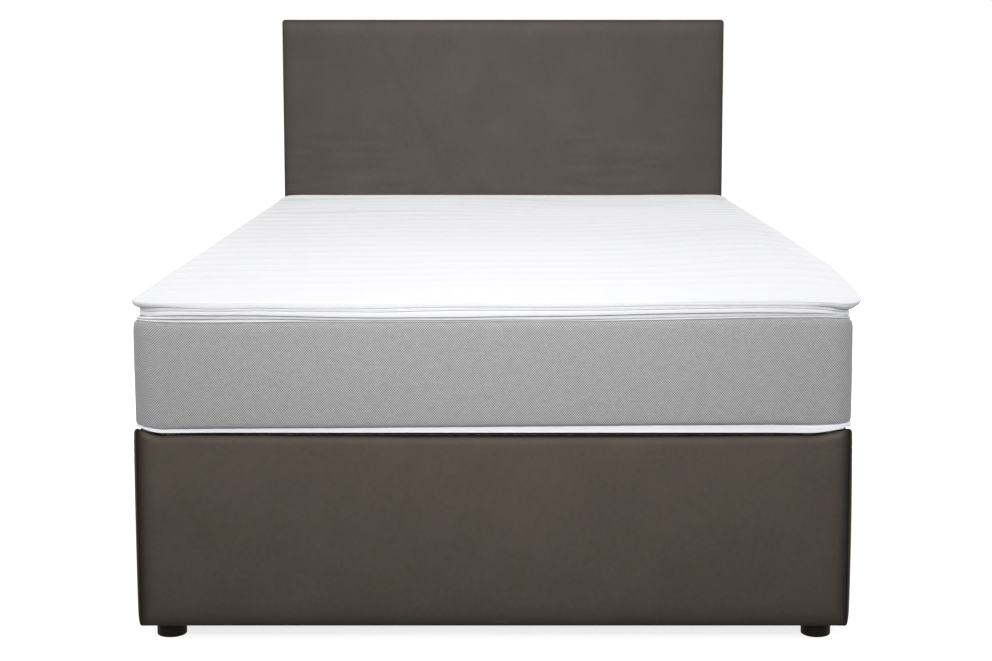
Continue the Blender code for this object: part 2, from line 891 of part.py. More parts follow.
def into_corner(x, y):
    """Moves a point of a rectangle into the same rectangle with round corners."""
    radius = topper_corner_radius
    inner_x, inner_y = topper_half_x - radius, topper_half_y - radius
    a, b = (abs(x) - inner_x) / radius, (abs(y) - inner_y) / radius
    if a <= 0 or b <= 0:
        return x, y
    bent_a, bent_b = a * math.sqrt(1 - b * b / 2), b * math.sqrt(1 - a * a / 2)
    return (
        math.copysign(inner_x + bent_a * radius, x),
        math.copysign(inner_y + bent_b * radius, y),
    )


def topper_rows():
    """(distance along the topper, share of the channel's height) for each row of the quilted top."""
    pitch = 2 * topper_half_y / topper_channels
    rows = []
    for channel in range(topper_channels):
        for share, height in zip(channel_shares, channel_height_shares):
            rows.append((-topper_half_y + pitch * (channel + share), height))
    rows.append((topper_half_y, 0.0))
    return rows


def drifted(x, y):
    """How far a channel strays along the topper: waves that move over as the
    channels go on, and a sweep towards the foot end at both sides. Both fade out
    before the ends."""
    waves = math.sin(math.tau * (x / topper_wave_length + y / topper_wave_drift))
    sweep = abs(x / topper_half_x) ** sweep_power_share
    fade = min(1.0, (topper_half_y - abs(y)) / topper_straight_ends)
    return fade * (topper_wave_depth * waves - topper_side_sweep * sweep)


def build_topper_cover_top(looks):
    """The quilted top of the topper's cover: a shell with sewn channels across
    it, a crown that falls away towards the edges, and a side that swells out
    over the zip."""
    rows = topper_rows()
    columns = [topper_half_x * (2 * share - 1) for share in topper_column_shares]
    bm = bmesh.new()
    grid = []
    shoulder = topper_bulge_shares[-1]
    edge_inset = topper_draw_in * (1 - shoulder[0])
    for y, puff in rows:
        line = []
        for x in columns:
            px, py = into_corner(x, y + drifted(x, y))
            beside = min(topper_half_x - abs(px), topper_half_y - abs(py))
            full = fullness(beside, topper_edge_roll)
            scale_x = 1 - edge_inset / topper_half_x
            scale_y = 1 - edge_inset / topper_half_y
            height = topper_top - topper_edge_drop * (1 - full)
            height -= topper_channel_depth * (1 - puff) * full
            line.append(bm.verts.new((px * scale_x, topper_middle + py * scale_y, height)))
        grid.append(line)
    for first, second in zip(grid, grid[1:]):
        for i in range(len(columns) - 1):
            bm.faces.new((first[i], first[i + 1], second[i + 1], second[i]))
    border = (
        grid[0]
        + [line[-1] for line in grid[1:-1]]
        + grid[-1][::-1]
        + [line[0] for line in grid[-2:0:-1]]
    )
    low, high = zip_top + GAP, topper_top - topper_edge_drop
    loops = [border]
    for out_share, up_share in topper_bulge_shares[-2::-1]:
        inset = topper_draw_in * (1 - out_share)
        level = low + (high - low) * up_share
        loop = []
        for vert in border:
            x = vert.co.x / (1 - edge_inset / topper_half_x) * (1 - inset / topper_half_x)
            y = (vert.co.y - topper_middle) / (1 - edge_inset / topper_half_y)
            y = topper_middle + y * (1 - inset / topper_half_y)
            loop.append(bm.verts.new((x, y, level)))
        loops.append(loop)
    for first, second in zip(loops, loops[1:]):
        for i in range(len(border)):
            j = (i + 1) % len(border)
            bm.faces.new((first[i], first[j], second[j], second[i]))
    inner = topper_draw_in + topper_foam_inset - GAP
    wall_low = [bm.verts.new(p) for p in topper_ring(inner, low)]
    wall_high = [bm.verts.new(p) for p in topper_ring(inner, topper_top - topper_ceiling_drop)]
    for i in range(len(wall_low)):
        j = (i + 1) % len(wall_low)
        bm.faces.new((wall_low[i], wall_low[j], wall_high[j], wall_high[i]))
    bm.faces.new(wall_high)
    rim = [e for e in bm.edges if len(e.link_faces) == 1]
    bmesh.ops.bridge_loops(bm, edges=rim)
    return place("topper_cover_top", bm, looks["white"], smooth_angle=30)


def build_topper(looks):
    """A foam sheet in a zipped cover."""
    build_topper_cover_top(looks)
    seam = topper_draw_in
    skin = topper_skin_thickness
    floor = topper_bottom + skin
    skinned(
        "topper_cover_bottom",
        [
            topper_ring(seam + topper_rim_tuck, topper_bottom),
            topper_ring(seam, topper_bottom + topper_rim_height / 3),
            topper_ring(seam, zip_bottom),
            topper_ring(seam + skin, zip_bottom),
            topper_ring(seam + skin, floor),
        ],
        looks["white"],
    )
    foam_inset = seam + topper_foam_inset
    skinned(
        "topper_foam",
        [
            topper_ring(foam_inset, floor + GAP),
            topper_ring(foam_inset, topper_top - topper_ceiling_drop - GAP),
        ],
        looks["foam"],
        smooth_angle=None,
    )
    tape = zip_tape_thickness
    for name, low, high in (
        ("lower", zip_bottom + GAP, zip_middle - zip_slit / 2),
        ("upper", zip_middle + zip_slit / 2, zip_top),
    ):
        loops = []
        for inset, level in ((0, low), (0, high), (tape, high), (tape, low)):
            loops.append(topper_ring(seam + inset, level))
        skinned(f"topper_zip_{name}", loops, looks["zip"], closed=True, smooth_angle=None)
    build_slider(looks)


def extruded(name, section, axis, half, look):
    """A closed section drawn across one axis, given as the two other coordinates,
    and stretched to both sides along it."""
    loops = []
    for along in (-half, half):
        loops.append([Vector((a, along, b) if axis == "Y" else (a, b, along)) for a, b in section])
    return skinned(name, loops, look, smooth_angle=None)


def build_slider(looks):
    """The zip's slider, an I section that holds both tapes, with a strap for its pull."""
    park = topper_half_y + topper_middle - topper_corner_radius - slider_parking
    plate, half = slider_plate_thickness, zip_height / 2 - GAP
    web = zip_slit / 2 - GAP
    back = -zip_tape_thickness - 2 * GAP
    inner = slider_inner_height / 2
    section = [
        (plate, -half),
        (plate, half),
        (0, half),
        (0, web),
        (back, web),
        (back, inner),
        (back - plate, inner),
        (back - plate, -inner),
        (back, -inner),
        (back, -web),
        (0, -web),
        (0, -half),
    ]
    place_on_tape = Vector((topper_half_x - topper_draw_in + GAP, park, zip_middle))
    slider = extruded("zip_slider", section, "Y", slider_length / 2, looks["steel"])
    slider.location = place_on_tape
    reach, thick, foot_x = strap_half_length, strap_thickness, plate / 2
    crown = plate + strap_clear_height
    arch = [
        (foot_x, -reach),
        (crown + thick, -reach),
        (crown + thick, reach),
        (foot_x, reach),
        (foot_x, reach - thick),
        (crown, reach - thick),
        (crown, thick - reach),
        (foot_x, thick - reach),
    ]
    strap = extruded("strap", arch, "Z", strap_width / 2, looks["steel"])
    strap.location = place_on_tape
    combine(slider, strap, "UNION")
    bar = pull_thickness / 2
    window, tab = pull_window_length, pull_length
    corner = pull_corner_share
    outer = [(-bar, -1), (tab - bar, -1), (tab, -corner), (tab, corner), (tab - bar, 1), (-bar, 1)]
    cut = [(bar, -1), (window, -1), (window, -corner), (window, corner), (window, 1), (bar, 1)]
    loops = []
    for outline, half_height, x in (
        (outer, pull_half_height, -bar),
        (outer, pull_half_height, bar),
        (cut, pull_window_half_height, bar),
        (cut, pull_window_half_height, -bar),
    ):
        loops.append([Vector((x, y, z * half_height)) for y, z in outline])
    pull = skinned("zip_pull", loops, looks["steel"], closed=True, smooth_angle=None)
    pull.location = place_on_tape + Vector((plate + strap_clear_height / 2, 0, 0))


def main():
    clear_scene()
    looks = {
        "leather": finish("brown_grey_leather", (0.095, 0.079, 0.070), 0.55),
        "white": finish("white_jersey", (0.88, 0.88, 0.90), 0.85),
        "border": finish("grey_weave", (0.37, 0.37, 0.37), 0.85),
        "cloth": finish("black_cloth", (0.02, 0.018, 0.017), 0.9),
        "foot": finish("black_plastic", (0.012, 0.011, 0.010), 0.45),
        "wood": finish("pine", (0.62, 0.46, 0.28), 0.65),
        "foam": finish("foam", (0.80, 0.74, 0.52), 0.9),
        "felt": finish("felt", (0.35, 0.33, 0.31), 0.95),
        "pocket": finish("spring_pocket", (0.75, 0.76, 0.78), 0.9),
        "zip": finish("zip_tape", (0.84, 0.84, 0.86), 0.7),
        "steel": finish("zinc_steel", (0.60, 0.60, 0.60), 0.35, 1.0),
    }
    build_frame(looks)
    build_base_springs(looks)
    build_base_upholstery(looks)
    for name, (x, y) in foot_places().items():
        foot(name, x, y, looks)
        foot_screw(name, x, y, looks)
    build_headboard(looks)
    build_mattress(looks)
    build_topper(looks)


main()
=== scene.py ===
"""The look of the box spring bed: upholstery, mattress, topper, studio and camera,
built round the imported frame. Metres, +Z up, the foot end faces -Y."""

import math

import bpy
import numpy as np
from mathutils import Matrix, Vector, noise


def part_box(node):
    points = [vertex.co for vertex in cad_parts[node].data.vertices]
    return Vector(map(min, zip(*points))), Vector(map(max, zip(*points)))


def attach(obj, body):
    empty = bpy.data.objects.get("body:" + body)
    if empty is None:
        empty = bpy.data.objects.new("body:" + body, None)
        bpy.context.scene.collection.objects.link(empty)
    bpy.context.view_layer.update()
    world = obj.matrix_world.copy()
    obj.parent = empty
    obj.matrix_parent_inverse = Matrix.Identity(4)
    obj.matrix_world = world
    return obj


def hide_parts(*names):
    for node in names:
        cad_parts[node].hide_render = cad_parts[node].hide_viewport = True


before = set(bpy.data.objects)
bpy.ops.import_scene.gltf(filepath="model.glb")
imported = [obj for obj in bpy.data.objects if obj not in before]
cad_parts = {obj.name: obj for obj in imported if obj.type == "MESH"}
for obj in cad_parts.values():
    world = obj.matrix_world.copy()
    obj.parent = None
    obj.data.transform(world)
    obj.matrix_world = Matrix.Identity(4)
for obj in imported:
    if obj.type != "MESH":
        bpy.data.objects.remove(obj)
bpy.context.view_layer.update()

SCENE = bpy.context.scene
MM = 0.001
MATTRESS_CORNER = 34 * MM
TOPPER_CORNER = 52 * MM
BOARD_CORNER = 9.0 * MM
STAPLE_LENGTH, STAPLE_WIDTH = 10 * MM, 0.9 * MM
# The camera, as solved from the photograph
PHOTO_WIDTH, FOCAL_LENGTH = 992, 1806.7  # pixels
SENSOR = 36.0  # millimetres
EYE = (0.0421, -3.9653, 1.0021)
LOOKS_DOWN = 6.629  # degrees


def span(node):
    """A node's lowest and highest corners as plain lists."""
    low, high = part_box(node)
    return list(map(float, low)), list(map(float, high))


# Places taken from the frame
base_low, base_high = span("base_cover_foot")
top_low, top_high = span("base_top_cloth")
border_low, border_high = span("mattress_border")
under_low = span("mattress_bottom_cloth")[0]
bed_high = span("mattress_top_cloth")[1]
quilt_low, quilt_high = span("topper_cover_top")
tray_low = span("topper_cover_bottom")[0]
board_low, board_high = span("headboard_cover")
back_low, back_high = span("headboard_back_cloth")
HALF_X = span("base_cover_right")[1][0]
FOOT_Y = base_low[1]
HEAD_Y = span("base_cover_head")[1][1]
MIDDLE_Y = (FOOT_Y + HEAD_Y) / 2
HALF_Y = (HEAD_Y - FOOT_Y) / 2


# ---- Meshes

def mesh_object(name, verts, faces, material, uvs=None):
    """A mesh object from arrays of points and faces, with UVs by point where given."""
    mesh = bpy.data.meshes.new(name)
    mesh.from_pydata(np.asarray(verts).tolist(), [], faces)
    mesh.materials.append(material)
    if uvs is not None:
        layer = mesh.uv_layers.new(name="UVMap")
        index = np.empty(len(mesh.loops), np.int32)
        mesh.loops.foreach_get("vertex_index", index)
        layer.data.foreach_set("uv", np.asarray(uvs)[index].astype(np.float32).ravel())
    mesh.validate()
    mesh.update()
    mesh.shade_smooth()
    obj = bpy.data.objects.new(name, mesh)
    SCENE.collection.objects.link(obj)
    return obj


def quads(rows, columns, wrap_rows=False, wrap_columns=False, start=0, flip=False):
    """Faces of a grid of points stored row by row."""
    i = np.arange(rows if wrap_rows else rows - 1)
    j = np.arange(columns if wrap_columns else columns - 1)
    i, j = np.meshgrid(i, j, indexing="ij")
    i2, j2 = (i + 1) % rows, (j + 1) % columns
    a, b = start + i * columns + j, start + i * columns + j2
    c, d = start + i2 * columns + j2, start + i2 * columns + j
    order = (a, d, c, b) if flip else (a, b, c, d)
    return np.stack(order, -1).reshape(-1, 4).tolist()


def crowded(count, share, half=1.0):
    """Places from -half to half that lie closer together towards both ends, the more so
    the nearer share is to 1."""
    return half * np.sin(np.linspace(-1, 1, count) * math.pi / 2 * share) / math.sin(math.pi / 2 * share)


def grid_edge(rows, columns):
    """The (row, column) of each point round the edge of a grid, once round."""
    edge = [(0, j) for j in range(columns)] + [(i, columns - 1) for i in range(1, rows)]
    edge += [(rows - 1, j) for j in range(columns - 2, -1, -1)]
    return edge + [(i, 0) for i in range(rows - 2, 0, -1)]


def shell(rows, columns, start=0):
    """Faces of a closed panel: a front grid, the back grid stored after it, and their rim."""
    behind = rows * columns
    faces = quads(rows, columns, start=start) + quads(rows, columns, start=start + behind, flip=True)
    edge = grid_edge(rows, columns)
    for (i, j), (k, m) in zip(edge, edge[1:] + edge[:1]):
        a, b = start + i * columns + j, start + k * columns + m
        faces.append((b, a, a + behind, b + behind))
    return faces


def bar(start):
    """Faces of a short bar: four rings of four points each, and its two ends."""
    ends = [(start + 3, start + 2, start + 1, start), (start + 12, start + 13, start + 14, start + 15)]
    return quads(4, 4, wrap_columns=True, start=start) + ends


def fractal(points, size, seed, octaves=2):
    """Smooth noise about 0 at each point, with features of about this size."""
    flat = np.asarray(points, float).reshape(-1, 3)
    found = np.zeros(len(flat))
    for k in range(octaves):
        scale = 2**k / size
        shift = Vector((seed * 7.3 + k * 3.1, seed * 1.7, seed * 4.9))
        part = [noise.noise(Vector(p) * scale + shift) for p in flat.tolist()]
        found += np.array(part) / 2**k
    return found.reshape(np.asarray(points).shape[:-1])


class Outline:
    """Points, outward directions and distances round a rounded rectangle, foot side first."""

    def __init__(self, half_x, half_y, radius, middle_y, step=0.012, corner_steps=14):
        sides = (2 * (half_x - radius), 2 * (half_y - radius))
        points, normals, along, total = [], [], [], 0.0
        for turn in range(4):
            heading = turn * math.pi / 2
            out = np.array((math.sin(heading), -math.cos(heading)))
            forward = np.array((math.cos(heading), math.sin(heading)))
            side = sides[turn % 2]
            reach = half_y if turn % 2 == 0 else half_x
            count = max(2, round(side / step))
            start = out * reach - forward * side / 2
            for k in range(count):
                points.append(start + forward * side * k / count)
                normals.append(out)
                along.append(total + side * k / count)
            total += side
            centre = start + forward * side - out * radius
            for k in range(corner_steps):
                angle = math.pi / 2 * k / corner_steps
                bent = out * math.cos(angle) + forward * math.sin(angle)
                points.append(centre + bent * radius)
                normals.append(bent)
                along.append(total + radius * angle)
            total += radius * math.pi / 2
        self.points = np.array(points) + np.array((0.0, middle_y))
        self.normals = np.array(normals)
        self.along = np.array(along)
        self.length = total


def sweep(name, outline, insets, heights, material, cap=None):
    """A section carried round an outline. insets and heights are arrays of stations by
    section points. The section is closed on itself, or capped at its two ends."""
    plan = outline.points[:, None, :] - outline.normals[:, None, :] * insets[:, :, None]
    grid = np.concatenate([plan, heights[:, :, None]], axis=2)
    rows, columns = insets.shape
    closed = cap is None
    faces = quads(rows, columns, wrap_rows=True, wrap_columns=closed)
    if not closed:
        faces.append([i * columns for i in range(rows)])
        faces.append([i * columns + columns - 1 for i in range(rows)][::-1])
    steps = np.hypot(np.diff(insets, axis=1), np.diff(heights, axis=1))
    rise = np.concatenate([np.zeros((rows, 1)), np.cumsum(steps, axis=1)], axis=1)
    uvs = np.stack([np.repeat(outline.along[:, None], columns, 1), rise], -1).reshape(-1, 2)
    return mesh_object(name, grid.reshape(-1, 3), faces, material, uvs)


def pillow(name, front, back, material, uvs):
    """A closed panel from a front grid and a back grid of the same size."""
    rows, columns = front.shape[:2]
    verts = np.concatenate([front.reshape(-1, 3), back.reshape(-1, 3)])
    return mesh_object(name, verts, shell(rows, columns), material, np.concatenate([uvs, uvs]))


def store_painted_shade(obj, values):
    """Marks how deep in a crease each point lies, as painted shade that the materials apply; a value below 0
    is a painted highlight.
    """
    mark = obj.data.attributes.new("crease", "FLOAT", "POINT")
    mark.data.foreach_set("value", np.asarray(values, np.float32).reshape(-1))


def eased(share):
    """0 to 1 with level ends."""
    share = np.clip(share, 0.0, 1.0)
    return share * share * (3 - 2 * share)


def roll(distance, width, power=2.0):
    """0 at an edge, rising steeply and levelling out to 1 at this width."""
    share = np.clip(distance / width, 0.0, 1.0)
    return (1 - (1 - share) ** power) ** (1 / power)


# ---- Materials

class Tree:
    """The nodes of a material or of the world."""

    def __init__(self, owner):
        owner.use_nodes = True
        self.nodes, self.links = owner.node_tree.nodes, owner.node_tree.links

    def put(self, node, key, value):
        """Sets an input of a node to a number or links it to another node's output."""
        if hasattr(value, "is_output"):
            self.links.new(value, node.inputs[key])
        else:
            node.inputs[key].default_value = value

    def node(self, kind, inputs=None, **settings):
        """A new node with these settings and inputs."""
        made = self.nodes.new(kind)
        for key, value in settings.items():
            setattr(made, key, value)
        for key, value in (inputs or {}).items():
            self.put(made, key, value)
        return made

    def math(self, operation, a, b=0.0):
        return self.node("ShaderNodeMath", {0: a, 1: b}, operation=operation).outputs[0]

    def coordinates(self, kind="Object"):
        return self.node("ShaderNodeTexCoord").outputs[kind]

    def mapped(self, value, low, high, to_low=0.0, to_high=1.0):
        inputs = {"Value": value, "From Min": low, "From Max": high, "To Min": to_low, "To Max": to_high}
        return self.node("ShaderNodeMapRange", inputs).outputs["Result"]


class Look(Tree):
    """A material with one shader, and the textures that it is made of."""

    def __init__(self, name, colour, roughness, metallic=0.0, sheen=0.0, specular=0.5):
        self.material = bpy.data.materials.new(name)
        super().__init__(self.material)
        self.shader = self.nodes["Principled BSDF"]
        for key, value in (("Roughness", roughness), ("Metallic", metallic), ("Sheen Weight", sheen),
                           ("Sheen Roughness", 0.5), ("Specular IOR Level", specular),
                           ("Base Color", (*colour, 1))):
            self.put(self.shader, key, value)
        self.colour = colour

    def scaled(self, vector, scale):
        return self.node("ShaderNodeVectorMath", {0: vector, 1: scale}, operation="MULTIPLY").outputs[0]

    def apart(self, vector):
        """A vector's X, Y and Z."""
        return self.node("ShaderNodeSeparateXYZ", {0: vector}).outputs

    def noise(self, vector, scale, detail=3.0, rough=0.5):
        inputs = {"Vector": vector, "Scale": scale, "Detail": detail, "Roughness": rough}
        return self.node("ShaderNodeTexNoise", inputs).outputs["Fac"]

    def cells(self, vector, scale):
        return self.node("ShaderNodeTexVoronoi", {"Vector": vector, "Scale": scale}).outputs["Distance"]

    def ramp(self, value, first, second):
        """One colour turning into the other, as a value goes from 0 to 1."""
        made = self.node("ShaderNodeValToRGB", {"Fac": value})
        for element, colour in zip(made.color_ramp.elements, (first, second)):
            element.color = (*colour, 1)
        return made.outputs["Color"]

    def shade(self, factor, amount):
        """Colours the surface from darker to lighter by a share, as a factor goes from 0 to 1."""
        dark = tuple(c * (1 - amount) for c in self.colour)
        light = tuple(min(1.0, c * (1 + amount)) for c in self.colour)
        self.put(self.shader, "Base Color", self.ramp(factor, dark, light))

    def recolour(self, operation, key, value):
        """Carries the colour so far through one more step."""
        before = self.shader.inputs["Base Color"].links[0].from_socket
        made = self.node("ShaderNodeVectorMath", {0: before, key: value}, operation=operation)
        self.put(self.shader, "Base Color", made.outputs[0])

    def tint(self, factor, first, second):
        """Multiplies the colour by one tint or the other, as a factor goes from 0 to 1."""
        self.recolour("MULTIPLY", 1, self.ramp(factor, first, second))

    def paint_shade(self, amount):
        """Paints shade: darkens the colour by this share where a mesh's crease mark is 1, and lightens it as
        a painted highlight where the mark is below 0.
        """
        mark = self.node("ShaderNodeAttribute", attribute_name="crease").outputs["Fac"]
        left = self.math("SUBTRACT", 1.0, self.math("MULTIPLY", mark, amount))
        self.recolour("SCALE", "Scale", left)

    def bump(self, height, strength, distance, before=None):
        """Roughens the surface, over an earlier bump where one is given."""
        inputs = {"Strength": strength, "Distance": distance, "Height": height}
        if before is not None:
            inputs["Normal"] = before
        made = self.node("ShaderNodeBump", inputs).outputs["Normal"]
        self.put(self.shader, "Normal", made)
        return made


def leather(name, colour, cloud):
    """Soft matt faux leather: a fine pebbled grain, and broad faint mottling that also
    turns its hue a little. cloud is how uneven its surface is."""
    look = Look(name, colour, 0.58, specular=0.08)
    place = look.coordinates()
    broad = look.noise(place, 9.0, 3.0, 0.5)
    middle = look.noise(place, 130.0, 4.0, 0.7)
    mixed = look.math("ADD", look.math("MULTIPLY", broad, 0.4), look.math("MULTIPLY", middle, 0.6))
    look.shade(look.mapped(mixed, 0.34, 0.66), 0.11)
    hue = look.mapped(look.noise(place, 24.0, 4.0, 0.7), 0.3, 0.7)
    look.tint(hue, (0.975, 1.0, 0.96), (1.025, 0.995, 1.03))
    # Painted shade, and painted highlight where the mark is below 0, from each mesh's crease mark
    look.paint_shade(0.85)
    look.put(look.shader, "Roughness", look.mapped(middle, 0.3, 0.7, 0.50, 0.62))
    grain = look.cells(place, 900.0)
    first = look.bump(grain, 0.20, 0.0004)
    look.bump(look.noise(place, 26.0, 2.0), cloud, 0.004, before=first)
    return look.material


def jersey(name, colour, rib=1400.0):
    """White knitted ticking: fine rows of stitches and a soft bloom."""
    look = Look(name, colour, 0.85, sheen=0.15, specular=0.25)
    place = look.coordinates()
    axes = look.apart(place)
    wales, rows, ups = (look.math("SINE", look.math("MULTIPLY", axes[axis], rib * pitch))
                        for axis, pitch in (("X", 2.0), ("Y", 1.4), ("Z", 1.4)))
    knit = look.math("MULTIPLY", wales, look.math("ADD", rows, ups))
    first = look.bump(knit, 0.10, 0.0003)
    soft = look.noise(place, 90.0, 3.0)
    look.bump(soft, 0.07, 0.0012, before=first)
    look.shade(look.mapped(soft, 0.3, 0.7), 0.012)
    # Painted shade in the white cloth's seams, creases and quilting valleys, and painted light on the
    # quilting's ridges, from each mesh's crease mark
    look.paint_shade(0.45)
    return look.material


def weave(name, colour):
    """A grey bird's eye weave: light dots in a slightly sheared diagonal lattice, by
    distance along the cloth. Its two sets of ribs cross every 4 mm."""
    look = Look(name, colour, 0.88, sheen=0.1, specular=0.2)
    u, v, _ = look.apart(look.coordinates("UV"))
    ribs = []
    for across, up in ((251.5, -230.3), (253.9, 203.0)):
        phase = look.math("ADD", look.math("MULTIPLY", u, across), look.math("MULTIPLY", v, up))
        ribs.append(look.math("SINE", look.math("MULTIPLY", phase, math.tau)))
    dots = look.math("ADD", look.math("MULTIPLY", look.math("ADD", *ribs), 0.25), 0.5)
    dots = look.mapped(dots, 0.22, 0.78)
    place = look.coordinates()
    blotch = look.noise(place, 300.0, 3.0, 0.7)
    slub = look.noise(look.scaled(look.coordinates("UV"), (60.0, 240.0, 1.0)), 1.0, 2.0)
    mixed = look.math("ADD", dots, look.mapped(blotch, 0.3, 0.7, -0.10, 0.10))
    mixed = look.math("ADD", mixed, look.mapped(slub, 0.3, 0.7, -0.05, 0.05))
    dark = tuple(c * 0.48 for c in colour)
    light = tuple(min(1.0, c * 1.61) for c in colour)
    look.put(look.shader, "Base Color", look.ramp(mixed, dark, light))
    look.bump(mixed, 0.25, 0.0005)
    return look.material


def nonwoven(name, colour):
    """Thin spunbonded cloth: pressed dots over a fibrous ground."""
    look = Look(name, colour, 0.92, specular=0.06)
    place = look.coordinates()
    fibres = look.noise(place, 700.0, 4.0, 0.7)
    look.shade(fibres, 0.35)
    dots = look.cells(place, 420.0)
    first = look.bump(dots, 0.30, 0.0003)
    look.bump(look.noise(place, 14.0, 2.0), 0.25, 0.004, before=first)
    return look.material


def plain(name, colour, roughness, metallic=0.0, grain=500.0, amount=0.08, strength=0.08, specular=0.5):
    """A hard surface with a fine uneven finish."""
    look = Look(name, colour, roughness, metallic, specular=specular)
    place = look.coordinates()
    fine = look.noise(place, grain, 3.0)
    look.shade(fine, amount)
    uneven = look.mapped(fine, 0.3, 0.7, roughness * 0.9, min(1.0, roughness * 1.12))
    look.put(look.shader, "Roughness", uneven)
    look.bump(fine, strength, 0.0004)
    return look.material


def timber(name, colour):
    """Planed pine: long grain along Y or X with darker late wood."""
    look = Look(name, colour, 0.62, specular=0.35)
    place = look.coordinates()
    inputs = {"Vector": look.scaled(place, (9.0, 0.8, 9.0)), "Scale": 3.0, "Distortion": 5.0, "Detail": 3.0}
    rings = look.node("ShaderNodeTexWave", inputs, wave_type="RINGS", rings_direction="Z").outputs["Fac"]
    look.shade(rings, 0.18)
    look.bump(rings, 0.12, 0.0006)
    return look.material


def foam_look(name, colour):
    """Cut foam, with its open cells."""
    look = Look(name, colour, 0.95, specular=0.06)
    place = look.coordinates()
    look.shade(look.noise(place, 30.0, 3.0), 0.08)
    look.bump(look.cells(place, 500.0), 0.5, 0.001)
    return look.material


LEATHER = leather("base_leather", (0.0925, 0.0745, 0.0615), 0.10)
# A darker, greyer copy of the base's leather: the difference is painted shade standing in for the
# headboard's different light
HEAD_LEATHER_SHADED_COPY = leather("headboard_leather_shaded_copy", (0.0755, 0.0642, 0.0582), 0.05)
WHITE = jersey("white_ticking", (0.818, 0.819, 0.838))
BAND = jersey("white_band", (0.895, 0.880, 0.928))
GREY = weave("grey_weave", (0.336, 0.336, 0.339))
TAPE = jersey("zip_tape_white", (0.80, 0.80, 0.815), rib=2600.0)
BLACK_CLOTH = nonwoven("black_spunbond", (0.010, 0.0092, 0.0088))
PLASTIC = plain("black_foot_plastic", (0.009, 0.0075, 0.007), 0.55, grain=900.0, specular=0.08)
STEEL = plain("zinc", (0.55, 0.55, 0.56), 0.35, metallic=1.0, grain=300.0)
ZIP_METAL = plain("zip_lacquer", (0.78, 0.78, 0.80), 0.35, grain=600.0)
PINE = timber("pine_wood", (0.60, 0.44, 0.26))
FOAM = foam_look("cream_foam", (0.80, 0.74, 0.52))
# Near black as painted shadow: where it shows in the gap between the mattress and the base's top edge it
# stands in for the shade there
WADDING_SHADOW_BLACK = nonwoven("wadding_black_painted_shadow", (0.009, 0.008, 0.0075))
FELT = plain("grey_felt", (0.34, 0.32, 0.30), 0.95, grain=240.0, amount=0.4, strength=0.6)
POCKET = nonwoven("pocket_cloth", (0.74, 0.75, 0.77))


# ---- Base

def panel(name, node, half, reach, face, rise_at, ears, rolls, seed, pucker=0.0):
    """One sewn side panel of the base, and the wadding behind it. half is half its width
    between its seams, reach how far its full surface stands out, and face turns (across,
    out, height) into a point. Its upper corners rise into ears of these widths, its two ends
    roll over in these widths, and rise_at lifts its upper edge. Returns the wadding's two sides."""
    a, r = np.meshgrid(crowded(220, 0.99) * half, (crowded(84, 0.97) + 1) / 2)
    low, high = base_low[2], base_high[2]
    left, right = a + half, half - a
    lift = 10.8 * MM * (eased(1 - left / ears[0]) ** 1.3 + eased(1 - right / ears[1]) ** 1.3)
    line = np.stack([a, a * 0, a * 0], -1)
    top = high - 1.8 * MM + lift + rise_at(a) + 0.4 * MM * fractal(line, 0.12, seed + 5)
    z = low + (top - low) * r
    from_end = np.minimum(left, right)
    above, below = top - z, z - low
    beside = np.minimum(roll(left, rolls[0]), roll(right, rolls[1]))
    sag = fractal(np.stack([a, a * 0, z], -1), 0.24, seed, 2) * 0.8 * MM
    # Faint gathers fan out from the seams' ends and from the lower hem
    gather = np.sin(left * 700.0 + 3.0 * np.sin(left * 90.0)) * np.exp(-below / 0.012) * 0.2 * MM
    gather += 0.5 * MM * np.sin(above * 420.0 - from_end * 260.0) * np.exp(-(above + from_end) / 0.030)
    full = roll(above, 0.016) * roll(below, 0.034)
    drop = 8.0 * MM * (1 - beside)
    drop = np.maximum(drop, 6.4 * MM * (1 - roll(above, 0.016)))
    drop = np.maximum(drop, 6.6 * MM * (1 - roll(below, 0.034)))
    out = reach - drop + (sag + gather) * beside * full - 1.6 * MM * (2 * r - 1) ** 2 * beside
    out += pucker * np.exp(-(((a - 0.012) / 0.013) ** 2)) * (
        np.exp(-(((below - 0.0055) / 0.003) ** 2)) - 0.6 * np.exp(-(((below - 0.013) / 0.005) ** 2)))
    out = np.minimum(out, reach + 1.0 * MM)
    behind = np.maximum(out - 1.3 * MM, reach - 8.5 * MM)
    behind = np.minimum(behind, out - 0.2 * MM)
    uvs = np.stack([a, z], -1).reshape(-1, 2)
    made = pillow(name, face(a, out, z), face(a, behind, z), LEATHER, uvs)
    # Painted shade: darker towards the seams at both ends, towards the lower hem, and in a thin line along
    # the top edge where the gap under the mattress lies in shade. A painted highlight along the upper roll,
    # stronger where it rises into the ears.
    painted_seam_shade_width = 10.5 * MM if rolls[0] > 0.02 else 1.4 * MM
    crease = 1.08 * np.exp(-((from_end / painted_seam_shade_width) ** 1.25))
    crease = np.maximum(crease, 0.80 * np.exp(-below / 0.014))
    crease = np.maximum(crease, 1.15 * np.exp(-above / 0.0024))
    painted_highlight = 0.40 * np.exp(-(((above - 0.0075) / 0.0045) ** 2))
    crease = crease - painted_highlight * (lift / (9 * MM) + 0.35) * (1 - crease)
    crease = crease.reshape(-1)
    store_painted_shade(made, np.concatenate([crease, crease]))
    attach(made, "base")
    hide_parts(node)
    height = low + 1.4 * MM + (high - low - 2.0 * MM) * r
    inner = np.maximum(behind - 0.3 * MM, reach - 8.2 * MM)
    return face(a * 0.995, inner, height), face(a * 0.995, np.full_like(out, reach - 8.4 * MM), height)


